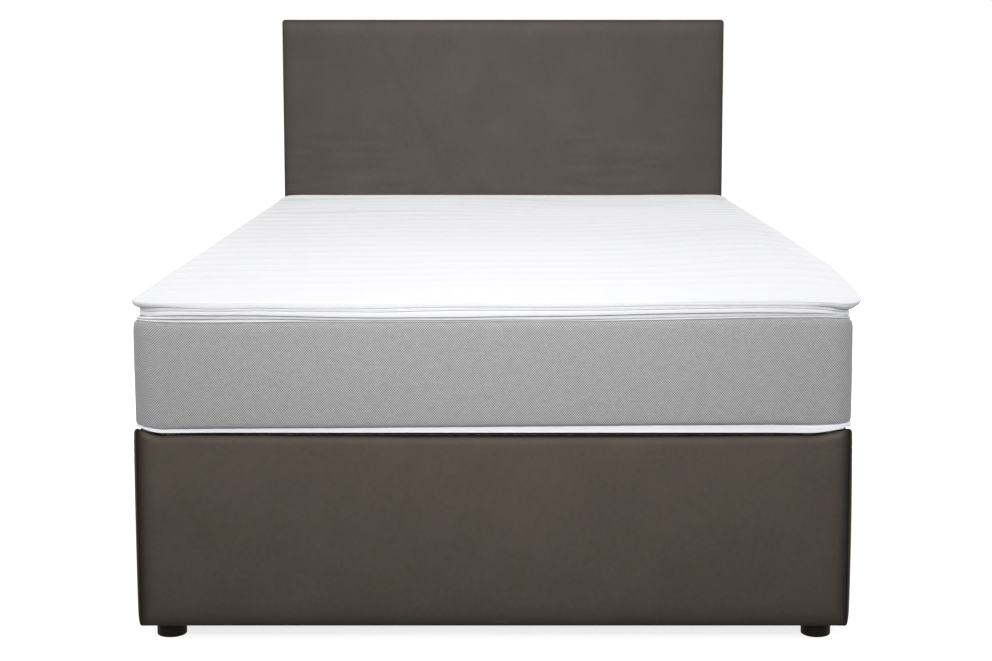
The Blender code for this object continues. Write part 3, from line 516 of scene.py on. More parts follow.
def build_base():
    """The four leather sides of the base, and the wadding behind them in one piece."""
    seam_x, seam_y = HALF_X - 8.6 * MM, HALF_Y - 8.6 * MM
    mid = MIDDLE_Y

    def level(a):
        return a * 0

    def foot_edge(a):
        """The mattress presses the middle down a little, and the left part touches its band."""
        return np.interp(a, (-0.59, -0.50, -0.38, -0.15, 0.35, 0.50, 0.59),
                         (0.2, 1.6, 1.2, -0.6, -0.4, 1.0, 0.6)) * MM

    sides = [
        panel("base_panel_foot", "base_cover_foot", seam_x, HALF_Y,
              lambda a, o, z: np.stack([a, mid - o, z], -1), foot_edge, (0.045, 0.075), (0.028, 0.028), 0,
              pucker=1.5 * MM),
        panel("base_panel_head", "base_cover_head", seam_x, HALF_Y,
              lambda a, o, z: np.stack([-a, mid + o, z], -1), level, (0.045, 0.045), (0.028, 0.028), 1),
        panel("base_panel_right", "base_cover_right", seam_y, HALF_X,
              lambda a, o, z: np.stack([o, mid + a, z], -1), level, (0.060, 0.045), (0.009, 0.012), 2),
        panel("base_panel_left", "base_cover_left", seam_y, HALF_X,
              lambda a, o, z: np.stack([-o, mid - a, z], -1), level, (0.045, 0.050), (0.012, 0.009), 3),
    ]
    verts, faces = [], []
    for front, back in sides:
        rows, columns = front.shape[:2]
        start = sum(len(part) for part in verts)
        verts += [front.reshape(-1, 3), back.reshape(-1, 3)]
        faces += shell(rows, columns, start)
    made = mesh_object("base_wadding", np.concatenate(verts), faces, WADDING_SHADOW_BLACK)
    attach(made, "base")
    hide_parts("base_side_padding")


def cloth_sheet(name, node, half_a, half_b, corner, level, thick, face, seed, slack=0.4 * MM):
    """A stretched cloth with a turned hem. level is where its outer side lies, and face
    turns (across, along, outward) into points."""
    a, b = np.meshgrid(crowded(110, 0.93, half_a), crowded(130, 0.93, half_b))
    pa, pb = into_corner(a, b, half_a, half_b, corner)
    inside = edge_distance(pa, pb, half_a, half_b, corner)
    hem = 0.35 * MM * (1 - eased((inside - 0.012) / 0.003))
    slackness = eased((inside - 0.012) / 0.05)
    pulls = np.sin(a * 2 * math.pi / 0.06) * np.sin(b * 2 * math.pi / 0.06) * np.exp(-inside / 0.03) * 0.2
    waves = fractal(np.stack([a, b, a * 0], -1), 0.22, seed, 2)
    out = level - 0.35 * MM + hem - slack * slackness * (0.5 + 0.5 * waves) + pulls * 0.15 * MM
    out = np.minimum(out, level)
    made = pillow(name, face(pa, pb, out), face(pa, pb, np.full_like(out, level - thick)), BLACK_CLOTH,
                  np.stack([a, b], -1).reshape(-1, 2))
    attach(made, "base")
    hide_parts(node)


def wires(name, places, aims, face, material, body="base"):
    """A row of staples: short flat wires lying at these places, along these directions."""
    verts, faces = [], []
    ring = [(-1, 0.0), (-0.6, 0.8), (0.6, 0.8), (1, 0.0)]
    for (x, y), (dx, dy) in zip(places, aims):
        start = len(verts)
        for along, drop in ((-0.5, -0.6 * MM), (-0.44, 0.0), (0.44, 0.0), (0.5, -0.6 * MM)):
            for side, up in ring:
                verts.append(face(x + dx * STAPLE_LENGTH * along - dy * STAPLE_WIDTH / 2 * side,
                                  y + dy * STAPLE_LENGTH * along + dx * STAPLE_WIDTH / 2 * side,
                                  drop + up * 0.35 * MM))
        faces += bar(start)
    made = mesh_object(name, np.array(verts), faces, material)
    made.data.set_sharp_from_angle(angle=math.radians(40))
    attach(made, body)


def staple_places(half_a, half_b, step):
    """Places and directions along the four sides of a rectangle."""
    places, aims = [], []
    for reach, side, turned in ((half_b, half_a, False), (half_a, half_b, True)):
        count = round(2 * side / step)
        for k in range(count):
            along = -side + 2 * side * (k + 0.5) / count
            for sign in (-1, 1):
                places.append((sign * reach, along) if turned else (along, sign * reach))
                aims.append((0, 1) if turned else (1, 0))
    return places, aims


def build_base_cloths():
    """The base's black cloths: stretched over its top, and stapled under its frame."""
    mid = MIDDLE_Y
    half_b = (top_high[1] - top_low[1]) / 2
    cloth_sheet("base_top_sheet", "base_top_cloth", top_high[0], half_b, 0.012, top_high[2], 1.7 * MM,
                lambda a, b, o: np.stack([a, mid + b, o], -1), 41,
                slack=0.3 * MM)
    low, high = span("base_dust_cloth")
    half_a, half_b = high[0], (high[1] - low[1]) / 2
    cloth_sheet("base_dust_sheet", "base_dust_cloth", half_a, half_b, 0.012, -low[2], high[2] - low[2],
                lambda a, b, o: np.stack([-a, mid + b, -o], -1), 42,
                slack=0.2 * MM)
    places, aims = staple_places(half_a - 7 * MM, half_b - 7 * MM, 0.060)
    wires("base_staples", places, aims,
          lambda x, y, up: (-x, mid + y, low[2] - up - 0.05 * MM), STEEL)


def lathe(name, profile, centre, material):
    """Revolves (radius, height) points into a closed piece."""
    sides = 64
    angles = np.linspace(0, math.tau, sides, endpoint=False)
    profile = np.array(profile)
    ring = np.stack([np.cos(angles), np.sin(angles)], -1)
    plan = ring[:, None, :] * profile[None, :, :1]
    heights = np.repeat(profile[None, :, 1:], sides, 0)
    grid = np.concatenate([plan, heights], -1) + np.array(centre)
    return mesh_object(name, grid.reshape(-1, 3), quads(sides, len(profile), True, True), material)


def build_feet():
    """Turned glides with an eased edge and a recess for the screw."""
    for name in ("foot_left", "foot_right", "head_left", "head_right", "centre"):
        low, high = span(f"foot_{name}")
        centre = ((low[0] + high[0]) / 2, (low[1] + high[1]) / 2, 0.0)
        outer, top = (high[0] - low[0]) / 2, high[2]
        ease = [(outer - 2.2 * MM + 2.2 * MM * math.sin(t), 2.2 * MM - 2.2 * MM * math.cos(t))
                for t in np.linspace(0, math.pi / 2, 6)]
        profile = [(9 * MM, 0.0), *ease, (outer, top * 0.6), (outer, top - 0.8 * MM),
                   (outer - 0.8 * MM, top), (2.9 * MM, top), (2.9 * MM, 14 * MM), (9 * MM, 14 * MM)]
        made = lathe(f"glide_{name}", profile, centre, PLASTIC)
        made.data.set_sharp_from_angle(angle=math.radians(50))
        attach(made, "base")
        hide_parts(f"foot_{name}")


# ---- Headboard

def build_headboard():
    """The headboard's padded front panel, and the gusset and cloth that finish it."""
    low, high = board_low[2], board_high[2]
    front_y, back_y = board_low[1], board_high[1]
    half = board_high[0]
    middle = (low + high) / 2
    half_z = (high - low) / 2
    a, c = np.meshgrid(crowded(190, 0.93, half), crowded(230, 0.93, half_z))
    edge_x, edge_z = half - np.abs(a), half_z - np.abs(c)
    corner = BOARD_CORNER
    reach_x, reach_z = half - corner, half_z - corner
    share_a = np.clip((np.abs(a) - reach_x) / corner, 0, 1)
    share_c = np.clip((np.abs(c) - reach_z) / corner, 0, 1)
    round_x = reach_x + corner * share_a * np.sqrt(1 - share_c**2 / 2)
    round_z = reach_z + corner * share_c * np.sqrt(1 - share_a**2 / 2)
    px = np.sign(a) * np.where(share_a > 0, round_x, np.abs(a))
    pz = np.sign(c) * np.where(share_c > 0, round_z, np.abs(c))
    full = roll(edge_x, 0.034) * roll(edge_z, 0.028)
    places = np.stack([a, a * 0, c], -1)
    sag = fractal(places, 0.30, 11, 2) * 0.9 * MM
    beside = eased((-a - 0.20) / 0.10) + eased((a - 0.12) / 0.10) * eased((0.50 - a) / 0.08)
    low_side = eased((0.28 - c) / 0.14) * beside
    wrinkles = fractal(np.stack([a * 1.5, a * 0, c * 13.0], -1), 0.20, 12, 2) * low_side
    creases = wrinkles * 1.5 * MM
    depth = 10.0 * MM * (1 - full) - (sag + creases) * full
    front = np.stack([px, front_y + 0.4 * MM + depth, middle + pz], -1)
    back = np.stack([px * (1 - 0.006), np.full_like(px, front_y + 14 * MM), middle + pz * (1 - 0.006)], -1)
    uvs = np.stack([a, c], -1).reshape(-1, 2)
    made = pillow("headboard_front_panel", front, back, HEAD_LEATHER_SHADED_COPY, uvs)
    # Painted shade: darker towards the side edges and in a thin line along the top and bottom edges; a
    # painted highlight just under the top edge; painted shade and light that follow the low wrinkles
    mark = np.maximum(0.85 * np.exp(-edge_x / 0.008), 0.9 * np.exp(-edge_z / 0.0035))
    mark -= 0.20 * np.exp(-(((edge_z - 0.020) / 0.015) ** 2)) * (c > 0) + 0.10 * wrinkles
    # A faint fold runs down aslant through the left half, drawn only as a thin line of painted shade
    along = np.clip(((a + 0.327) * 0.193 + (c - 0.442) * -0.387) / (0.193**2 + 0.387**2), 0, 1)
    off = np.hypot(a + 0.327 - 0.193 * along, c - 0.442 + 0.387 * along)
    mark = (mark + 0.11 * np.exp(-((off / 0.006) ** 2)) * (1 - along**4)).reshape(-1)
    store_painted_shade(made, np.concatenate([mark, mark]))
    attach(made, "base")
    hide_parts("headboard_cover")
    gusset(half, half_z, middle, front_y + 10.8 * MM, back_y, corner)
    back_cloth(half, half_z, middle, corner)


def upright(outline_points, y):
    """Stands the points of a level outline up at this depth."""
    return np.stack([outline_points[:, 0], np.full(len(outline_points), y), outline_points[:, 1]], -1)


def gusset(half, half_z, middle, front_y, back_y, corner):
    """The strip of leather round the headboard's sides, turned over onto its back."""
    outline = Outline(half, half_z, corner, middle, step=0.02, corner_steps=8)
    length = back_y - front_y
    section = []
    for t in np.linspace(0, 1, 11):
        section.append((1.6 * MM - 1.6 * MM * float(roll(min(t, 1 - t), 0.25)), front_y + length * t))
    section += [(3 * MM, back_y + 0.4 * MM), (14 * MM, back_y + 0.5 * MM), (14 * MM, back_y - 1.2 * MM),
                (4.2 * MM, back_y - 1.2 * MM), (4.2 * MM, front_y + 0.4 * MM)]
    rows = []
    for inset, y in section:
        plan = outline.points - outline.normals * inset
        rows.append(upright(plan, y))
    grid = np.stack(rows, 1)
    count = len(section)
    run = np.concatenate([[0], np.cumsum(np.hypot(*np.diff(np.array(section), axis=0).T))])
    around = len(outline.along)
    uvs = np.stack([np.repeat(outline.along[:, None], count, 1), np.repeat(run[None, :], around, 0)], -1)
    made = mesh_object("headboard_gusset", grid.reshape(-1, 3), quads(around, count, True, True, flip=True),
                       HEAD_LEATHER_SHADED_COPY, uvs.reshape(-1, 2))
    made.data.set_sharp_from_angle(angle=math.radians(60))
    # Painted shade: the strip is darker where it faces left or right
    store_painted_shade(made, np.repeat(0.6 * np.abs(outline.normals[:, 0]), count))
    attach(made, "base")
    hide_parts("headboard_cover")


def back_cloth(half, half_z, middle, corner):
    """Thin black cloth over the board's back, its folded hem stapled down."""
    half_a, half_b = half - 6 * MM, half_z - 6 * MM
    cloth_sheet("headboard_back_sheet", "headboard_back_cloth", half_a, half_b, corner, back_high[1],
                back_high[1] - back_low[1], lambda a, b, o: np.stack([-a, o, middle + b], -1),
                43)
    places, aims = staple_places(half_a - 6 * MM, half_b - 6 * MM, 0.050)
    wires("headboard_staples", places, aims,
          lambda x, y, up: (-x, back_high[1] + up - 0.25 * MM, middle + y), STEEL)


# ---- Mattress

# The front's seams are not level: their heights over the mattress's top, in millimetres,
# at these places from left to right
FRONT_X = (-0.600, -0.577, -0.547, -0.524, -0.457, -0.390, -0.323, -0.256, -0.189, -0.122, -0.055, 0.011,
           0.078, 0.145, 0.212, 0.279, 0.346, 0.413, 0.479, 0.546, 0.571, 0.588, 0.600)
ZIP_UPPER = (13.5, 15.9, 17.4, 17.2, 14.7, 17.2, 15.5, 15.5, 15.9, 17.7, 18.7, 18.6,
             17.7, 18.4, 19.4, 20.9, 21.2, 21.1, 21.6, 19.6, 15.0, 11.5, 9.5)
ZIP_LOWER = (8.5, 9.6, 11.9, 12.2, 10.9, 12.5, 11.0, 11.0, 9.9, 11.7, 13.0, 13.4,
             13.1, 13.4, 13.4, 15.0, 16.2, 17.2, 17.4, 14.6, 10.0, 7.4, 6.0)
TOPPER_FOOT = (2.2, 1.8, 3.8, 4.8, 4.5, 4.8, 3.2, 1.5, 0.9, 1.2, 1.7, 3.0,
               3.7, 4.3, 5.9, 7.6, 8.8, 9.6, 9.6, 8.0, 5.2, 3.4, 2.6)
TOP_CREASE = (-2.0, -3.0, -3.3, -3.7, -3.0, -2.8, -3.5, -5.3, -5.5, -5.3, -5.2, -4.0,
              -4.5, -4.0, -2.2, -0.5, 0.8, 2.4, 3.2, 3.6, 2.6, 1.4, 0.5)
BORDER_TOP = (-5.0, -6.5, -8.0, -9.0, -9.3, -8.6, -7.2, -7.0, -7.1, -6.9, -6.8, -5.8,
              -6.3, -6.2, -5.2, -4.2, -2.6, -1.0, -0.2, 0.2, -0.4, -1.4, -2.2)
RAISED = 2.2  # the whole group of seams sits this much higher at the foot end
MATTRESS_TOP = bed_high[2] - 0.3 * MM
FRONT = FOOT_Y


def across_front(x, values, passes=40):
    """A value read off one of the front's tables, with its kinks smoothed."""
    fine = np.linspace(-0.63, 0.63, 420)
    return np.interp(x, fine, smoothed(np.interp(fine, FRONT_X, values), passes, 0))


def front_line(points, values, rest, seed):
    """A seam's height round the bed: as seen at the foot end, and nearly level elsewhere."""
    values = [value + RAISED for value in values]
    near = eased(1 - (points[:, 1] - FRONT) / 0.045)
    place = np.concatenate([points, points[:, :1] * 0], 1)
    wander = rest + 0.7 * fractal(place, 0.40, seed, 2)
    return MATTRESS_TOP + (across_front(points[:, 0], values) * near + wander * (1 - near)) * MM


def corner_share(points, half_x, half_y, within, middle=MIDDLE_Y):
    """1 at the corners of a rectangle, falling to 0 this far from them."""
    x = half_x - np.abs(points[:, 0])
    y = half_y - np.abs(points[:, 1] - middle)
    return eased(1 - np.hypot(x, y) / within)


def corner_lift(points, half_x, half_y):
    """1 at the mattress's corners, falling off sooner along its ends than along its sides."""
    x = half_x - np.abs(points[:, 0])
    y = half_y - np.abs(points[:, 1] - MIDDLE_Y)
    width = np.interp(points[:, 0], (-0.6, 0.6), (0.050, 0.075))
    return eased(1 - x / width) * eased(1 - y / 0.15)


def build_mattress():
    """The mattress's cloth, whose seams follow those in the photograph at the foot end."""
    half_x, half_y = border_high[0], (border_high[1] - border_low[1]) / 2
    outline = Outline(half_x, half_y, MATTRESS_CORNER, MIDDLE_Y, step=0.008, corner_steps=18)
    points = outline.points
    lift = corner_lift(points, half_x, half_y)
    near = eased(1 - (points[:, 1] - FRONT) / 0.45)
    tilt = np.interp(points[:, 0], (-0.6, -0.55, -0.30, 0.0, 0.30, 0.60),
                     (-1.5, -3.6, -2.4, 0.0, 2.6, 4.2)) * near * MM
    seam = border_low[2] - 0.4 * MM + tilt + lift * np.interp(points[:, 0], (-0.6, 0.6), (4.5, 2.0)) * MM
    head = front_line(points, BORDER_TOP, -6.2, 51)
    rounder = corner_share(points, half_x, half_y, 0.15)
    build_border(outline, seam + 0.5 * MM, head, rounder)
    build_mattress_bottom(outline, lift, seam, rounder)
    build_mattress_top(outline, head)
    for side, level, name in ((1, bed_high[2], "top"), (-1, under_low[2], "bottom")):
        open_field(f"mattress_{name}_field", f"mattress_{name}_cloth", "mattress",
                   half_x - MATTRESS_CORNER, half_y - MATTRESS_CORNER, 8 * MM, MIDDLE_Y, level, side)
    stitch_row("mattress_lower_stitches", outline, (6.4 - rounder * 5.4) * MM, seam + 0.3 * MM, 5.0 * MM)


def build_border(outline, low, high, rounder):
    """The grey border, which bulges between its seams and less so towards its lower corners."""
    points = outline.points
    rows = 44
    shares = (1 - np.cos(np.linspace(0, math.pi, rows))) / 2
    z = low[:, None] + (high - low)[:, None] * shares[None, :]
    up, down = high[:, None] - z, z - low[:, None]
    full = roll(up, 0.016, 2.6) * roll(down, 0.013, 2.6)
    place = np.stack([np.repeat(points[:, :1], rows, 1), np.repeat(points[:, 1:], rows, 1), z], -1)
    wave = fractal(place, 0.17, 21, 2) * 0.9 * MM
    lower = np.clip(shares * 2, 0, 1)[None, :]
    tuck = 6.5 - 5.2 * rounder[:, None] * (1 - lower)
    inset = np.clip(tuck * MM * (1 - full) - wave * full, -0.8 * MM, None)
    n = len(points)
    back_in = np.stack([np.full(n, 11 * MM)] * 2, 1)
    back_z = np.stack([high - 1 * MM, low + 1 * MM], 1)
    made = sweep("mattress_border_cloth", outline, np.concatenate([inset, back_in], 1),
                 np.concatenate([z, back_z], 1), GREY)
    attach(made, "mattress")
    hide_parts("mattress_border")


def build_mattress_bottom(outline, lift, seam, rounder):
    """The white bottom panel, whose rim turns up to the border's lower seam as a flat band
    that is lifted where the base's corners stand up."""
    n = len(outline.along)
    bottom = under_low[2]
    raised = bottom + lift * 9.2 * MM
    closer = rounder * np.interp(outline.points[:, 0], (-0.6, 0.6), (5.4, 7.2)) * MM
    insets = [np.full(n, 40 * MM), np.full(n, 38 * MM)]
    heights = [np.full(n, bottom + 1.6 * MM), np.full(n, bottom + 0.4 * MM)]
    for inset, share in ((30, 0.0), (20, 0.0), (11.6, 0.04), (11.0, 0.5)):
        insets.append(np.full(n, inset * MM))
        heights.append(bottom + (raised - bottom) * share)
    for angle in np.linspace(0.25, math.pi / 2, 6):
        insets.append(10.5 * MM - (4.8 * MM + closer) * math.sin(angle))
        heights.append(raised + 1.3 * MM * (1 - math.cos(angle)))
    for share in (0.12, 0.24, 0.5, 0.88):
        insets.append(6.5 * MM - closer - np.full(n, 0.8 * MM * (1 - min(1.0, share / 0.4)) ** 2))
        heights.append(raised + 1.3 * MM + (seam - 0.6 * MM - raised - 1.3 * MM) * share)
    for inset, drop in ((7.0, 0.5), (9.0, 0.3), (24.0, 1.0)):
        insets.append(np.full(n, inset * MM))
        heights.append(seam - drop * MM)
    flat = border_low[2] + 1.0 * MM
    for inset in (34, 40):
        insets.append(np.full(n, inset * MM))
        heights.append(np.full(n, flat))
    made = sweep("mattress_bottom_panel", outline, np.stack(insets, 1), np.stack(heights, 1), BAND, cap=True)
    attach(made, "mattress")
    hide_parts("mattress_bottom_cloth")


def build_mattress_top(outline, seam):
    """The white top panel: a thin lip on the border's upper seam, a crease, and a soft roll
    that puffs up in front of the topper."""
    points = outline.points
    n = len(points)
    crease = front_line(points, TOP_CREASE, -3.6, 52)
    foot = front_line(points, TOPPER_FOOT, 1.0, 53) - 0.6 * MM
    foot = np.maximum(foot, bed_high[2])
    deep = np.interp(across_front(points[:, 0], TOP_CREASE), (-5.5, 0.0), (4.2, 1.8)) * MM
    near = eased(1 - (points[:, 1] - FRONT) / 0.10)
    # Painted shade in the crease between the lip and the roll, darkest along the middle of the foot end
    dark = np.interp(across_front(points[:, 0], TOP_CREASE), (-5.2, -3.6, -2.8, 3.0), (1.75, 1.5, 0.8, 0.7))
    dark = dark * near + 0.7 * (1 - near)
    parts = [(26 * MM, seam - 1.0 * MM), (9 * MM, seam + 0.1 * MM)]
    for share in (0.1, 0.35, 0.65, 0.9):
        parts.append((6.2 * MM - 1.6 * MM * math.sin(share * math.pi), seam + (crease - seam) * share))
    parts.append((5.6 * MM + deep, crease))
    rise = foot - crease
    for angle in np.linspace(-1.15, math.pi / 2, 9):
        share = (math.sin(angle) + 0.92) / 1.92
        parts.append((8.5 * MM - 4.2 * MM * math.cos(angle), crease + rise * max(share, 0.03)))
    level = bed_high[2]
    for inset, share in ((10.0, 0.94), (11.5, 0.65), (13.0, 0.25), (15.0, 0.0)):
        parts.append((inset * MM, level + (foot - level) * share))
    insets = [np.full(n, inset) if np.isscalar(inset) else inset for inset, _ in parts]
    heights = [height for _, height in parts]
    # Painted shade: a faint line on the lip, the crease's dark line, and shade where the roll passes under
    # the topper
    painted_shade_marks = [0.0, 0.4, 0.0, 0.0, 0.1, 0.8 * dark, dark, dark, 0.5 * dark]
    painted_shade_marks += [0.0] * 5 + [0.2, 0.4, 0.9, 0.8, 0.5, 0.2]
    for inset, drop in ((30, 0.0), (38, 0.4), (40, 1.6)):
        insets.append(np.full(n, inset * MM))
        heights.append(np.full(n, level - drop * MM))
    made = sweep("mattress_top_panel", outline, np.stack(insets, 1), np.stack(heights, 1), WHITE, cap=True)
    painted_shade_marks = painted_shade_marks[:len(insets)] + [0.0] * (len(insets) - len(painted_shade_marks))
    store_painted_shade(made, np.stack([np.full(n, 1.0) * mark for mark in painted_shade_marks], 1))
    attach(made, "mattress")
    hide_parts("mattress_top_cloth")


def open_field(name, node, body, half_x, half_y, corner, middle, level, side, lean=0.0):
    """The wide part of a cloth panel that lies inside its rim: softly uneven, never past
    this level. side is 1 for a top and -1 for an underside."""
    a, b = np.meshgrid(crowded(90, 0.9, half_x), crowded(130, 0.9, half_y))
    pa, pb = into_corner(a, b, half_x, half_y, corner)
    inside = edge_distance(pa, pb, half_x, half_y, corner)
    place = np.stack([a, b, a * 0], -1)
    dip = 0.45 * MM * (1 + fractal(place, 0.16, 71, 2)) * eased(inside / 0.08)
    dip += 0.25 * MM * (1 + np.sin(a * 380.0) * np.sin(b * 380.0)) / 2 * eased(inside / 0.03)
    z = level - side * np.clip(dip, 0.0, None)
    front = np.stack([pa * side + lean, pb + middle, z], -1)
    back = np.stack([pa * side + lean, pb + middle, z * 0 + level - side * 1.4 * MM], -1)
    made = pillow(name, front, back, WHITE, np.stack([a, b], -1).reshape(-1, 2))
    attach(made, body)
    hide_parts(node)


def stitch_row(name, outline, inset, height, pitch):
    """A line of thread stitches round the mattress."""
    count = int(outline.length / pitch)
    along = np.append(outline.along, outline.length)
    x = np.append(outline.points[:, 0], outline.points[0, 0])
    y = np.append(outline.points[:, 1], outline.points[0, 1])
    nx = np.append(outline.normals[:, 0], outline.normals[0, 0])
    ny = np.append(outline.normals[:, 1], outline.normals[0, 1])
    z = np.append(height, height[0])
    inset = np.append(inset, inset[0])
    verts, faces = [], []
    section = ((0.0, -1.0), (0.9, 0.0), (0.0, 1.0), (-0.9, 0.0))
    for k in range(count):
        start = len(verts)
        for share, size in ((0.08, 0.3), (0.25, 1.0), (0.65, 1.0), (0.82, 0.3)):
            at = (k + share) * outline.length / count
            px, py, qx, qy, pz, depth = (np.interp(at, along, values) for values in (x, y, nx, ny, z, inset))
            for out, up in section:
                reach = out * size * 0.35 * MM - depth
                verts.append((px + qx * reach, py + qy * reach, pz + up * size * 0.35 * MM))
        faces += bar(start)
    made = mesh_object(name, np.array(verts), faces, BAND)
    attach(made, "mattress")


# ---- Topper

# How far the quilting's seams stray towards the foot end, in centimetres: eight seams
# from the head end to the foot end, each at eleven places from left to right
SEAM_PLACES_X = (-0.588, -0.482, -0.349, -0.216, -0.044, 0.076, 0.182, 0.315, 0.447, 0.527, 0.590)
SEAM_PLACES_Y = (0.785, 0.669, 0.468, 0.352, 0.164, -0.127, -0.451, -0.710)
SEAM_STRAYS = (
    (4.0, 0.6, -2.6, -3.9, -2.0, 2.0, 7.1, 7.8, 8.4, 11.0, 14.0),
    (0.5, -4.5, -6.5, -7.1, -3.2, 3.2, 9.0, 12.0, 6.5, 7.1, 9.5),
    (2.6, 4.5, 1.3, -1.3, -2.6, 2.0, 3.2, 2.0, 2.6, 2.6, 4.0),
    (5.0, 2.6, 2.2, 0.0, 0.0, 0.3, 1.3, -2.0, -2.8, -2.2, 0.5),
    (5.0, 5.8, 3.9, -0.6, 0.0, 0.0, 0.0, -5.4, -8.4, -9.0, -1.0),
    (5.5, 1.3, 0.0, -1.0, -1.3, 0.6, 0.0, -4.5, -7.8, -7.8, 2.5),
    (8.0, 3.9, 3.4, 1.6, 0.0, -0.6, -1.3, -2.6, -5.8, -5.0, 0.5),
    (8.5, 5.8, 4.8, 3.2, 0.0, 0.0, 0.0, -1.0, -2.0, -1.0, 4.0),
)
CHANNELS = 22
ASIDE = 2.0 * MM  # the topper lies a little to the right


def smoothed(values, passes, axis):
    """Values averaged with their neighbours along an axis, this many times over."""
    for _ in range(passes):
        padded = np.concatenate([values.take([0], axis), values, values.take([-1], axis)], axis)
        size = values.shape[axis]
        before = padded.take(range(0, size), axis)
        after = padded.take(range(2, size + 2), axis)
        values = values / 2 + (before + after) / 4
    return values


def strays(x, y):
    """How far the quilting's seams stray at each point of a grid, in metres."""
    by_seam = np.array([np.interp(x[0], SEAM_PLACES_X, row) for row in SEAM_STRAYS])
    order = np.argsort(SEAM_PLACES_Y)
    heights = np.array(SEAM_PLACES_Y)[order]
    columns = [np.interp(y[:, 0], heights, by_seam[order, j]) for j in range(x.shape[1])]
    table = np.stack(columns, 1) / 100
    return smoothed(smoothed(table, 260, 0), 90, 1)


def into_corner(x, y, half_x, half_y, radius):
    """Moves the points of a rectangle into the same rectangle with round corners."""
    a = np.clip((np.abs(x) - half_x + radius) / radius, 0, 1)
    b = np.clip((np.abs(y) - half_y + radius) / radius, 0, 1)
    px = np.where(a > 0, np.sign(x) * (half_x - radius + radius * a * np.sqrt(1 - b * b / 2)), x)
    py = np.where(b > 0, np.sign(y) * (half_y - radius + radius * b * np.sqrt(1 - a * a / 2)), y)
    return px, py


def edge_distance(x, y, half_x, half_y, radius):
    """How far a point lies inside a rounded rectangle."""
    qx, qy = np.abs(x) - half_x + radius, np.abs(y) - half_y + radius
    outside = np.hypot(np.clip(qx, 0, None), np.clip(qy, 0, None))
    return radius - outside - np.minimum(np.maximum(qx, qy), 0)


def foot_share(points, half_x, half_y, middle):
    """1 along the foot end's front, 0 at its corners and on the other sides."""
    near = eased((-(points[:, 1] - middle) - half_y + 0.10) / 0.08)
    near = near * eased((half_x - np.abs(points[:, 0])) / 0.035)
    return near * (1 - corner_share(points, half_x, half_y, 0.11, middle))


def flared(points):
    """The topper's right side, above its zip, spreads outwards and stands up a little
    towards the foot end."""
    x, y = points[:, 0], points[:, 1]
    out = np.interp(y, (-1.03, -0.98, -0.87, -0.62, 0.0, 0.6, 0.85, 0.97), (3, 7, 16, 21, 15, 6, 1, 0)) * MM
    up = np.interp(y, (-1.03, -0.9, -0.6, 0.0, 0.97), (0, 3, 8, 6, 1)) * MM
    above_zip = eased((points[:, 2] - MATTRESS_TOP - 17.2 * MM) / (4.5 * MM))
    share = np.maximum(above_zip, eased((-y - 0.99) / 0.03))
    moved = points.copy()
    moved[:, 0] += out * np.clip(x / 0.6, 0, 1) ** 2 * share
    moved[:, 2] += up * eased((x - 0.25) / 0.3) * share
    return moved


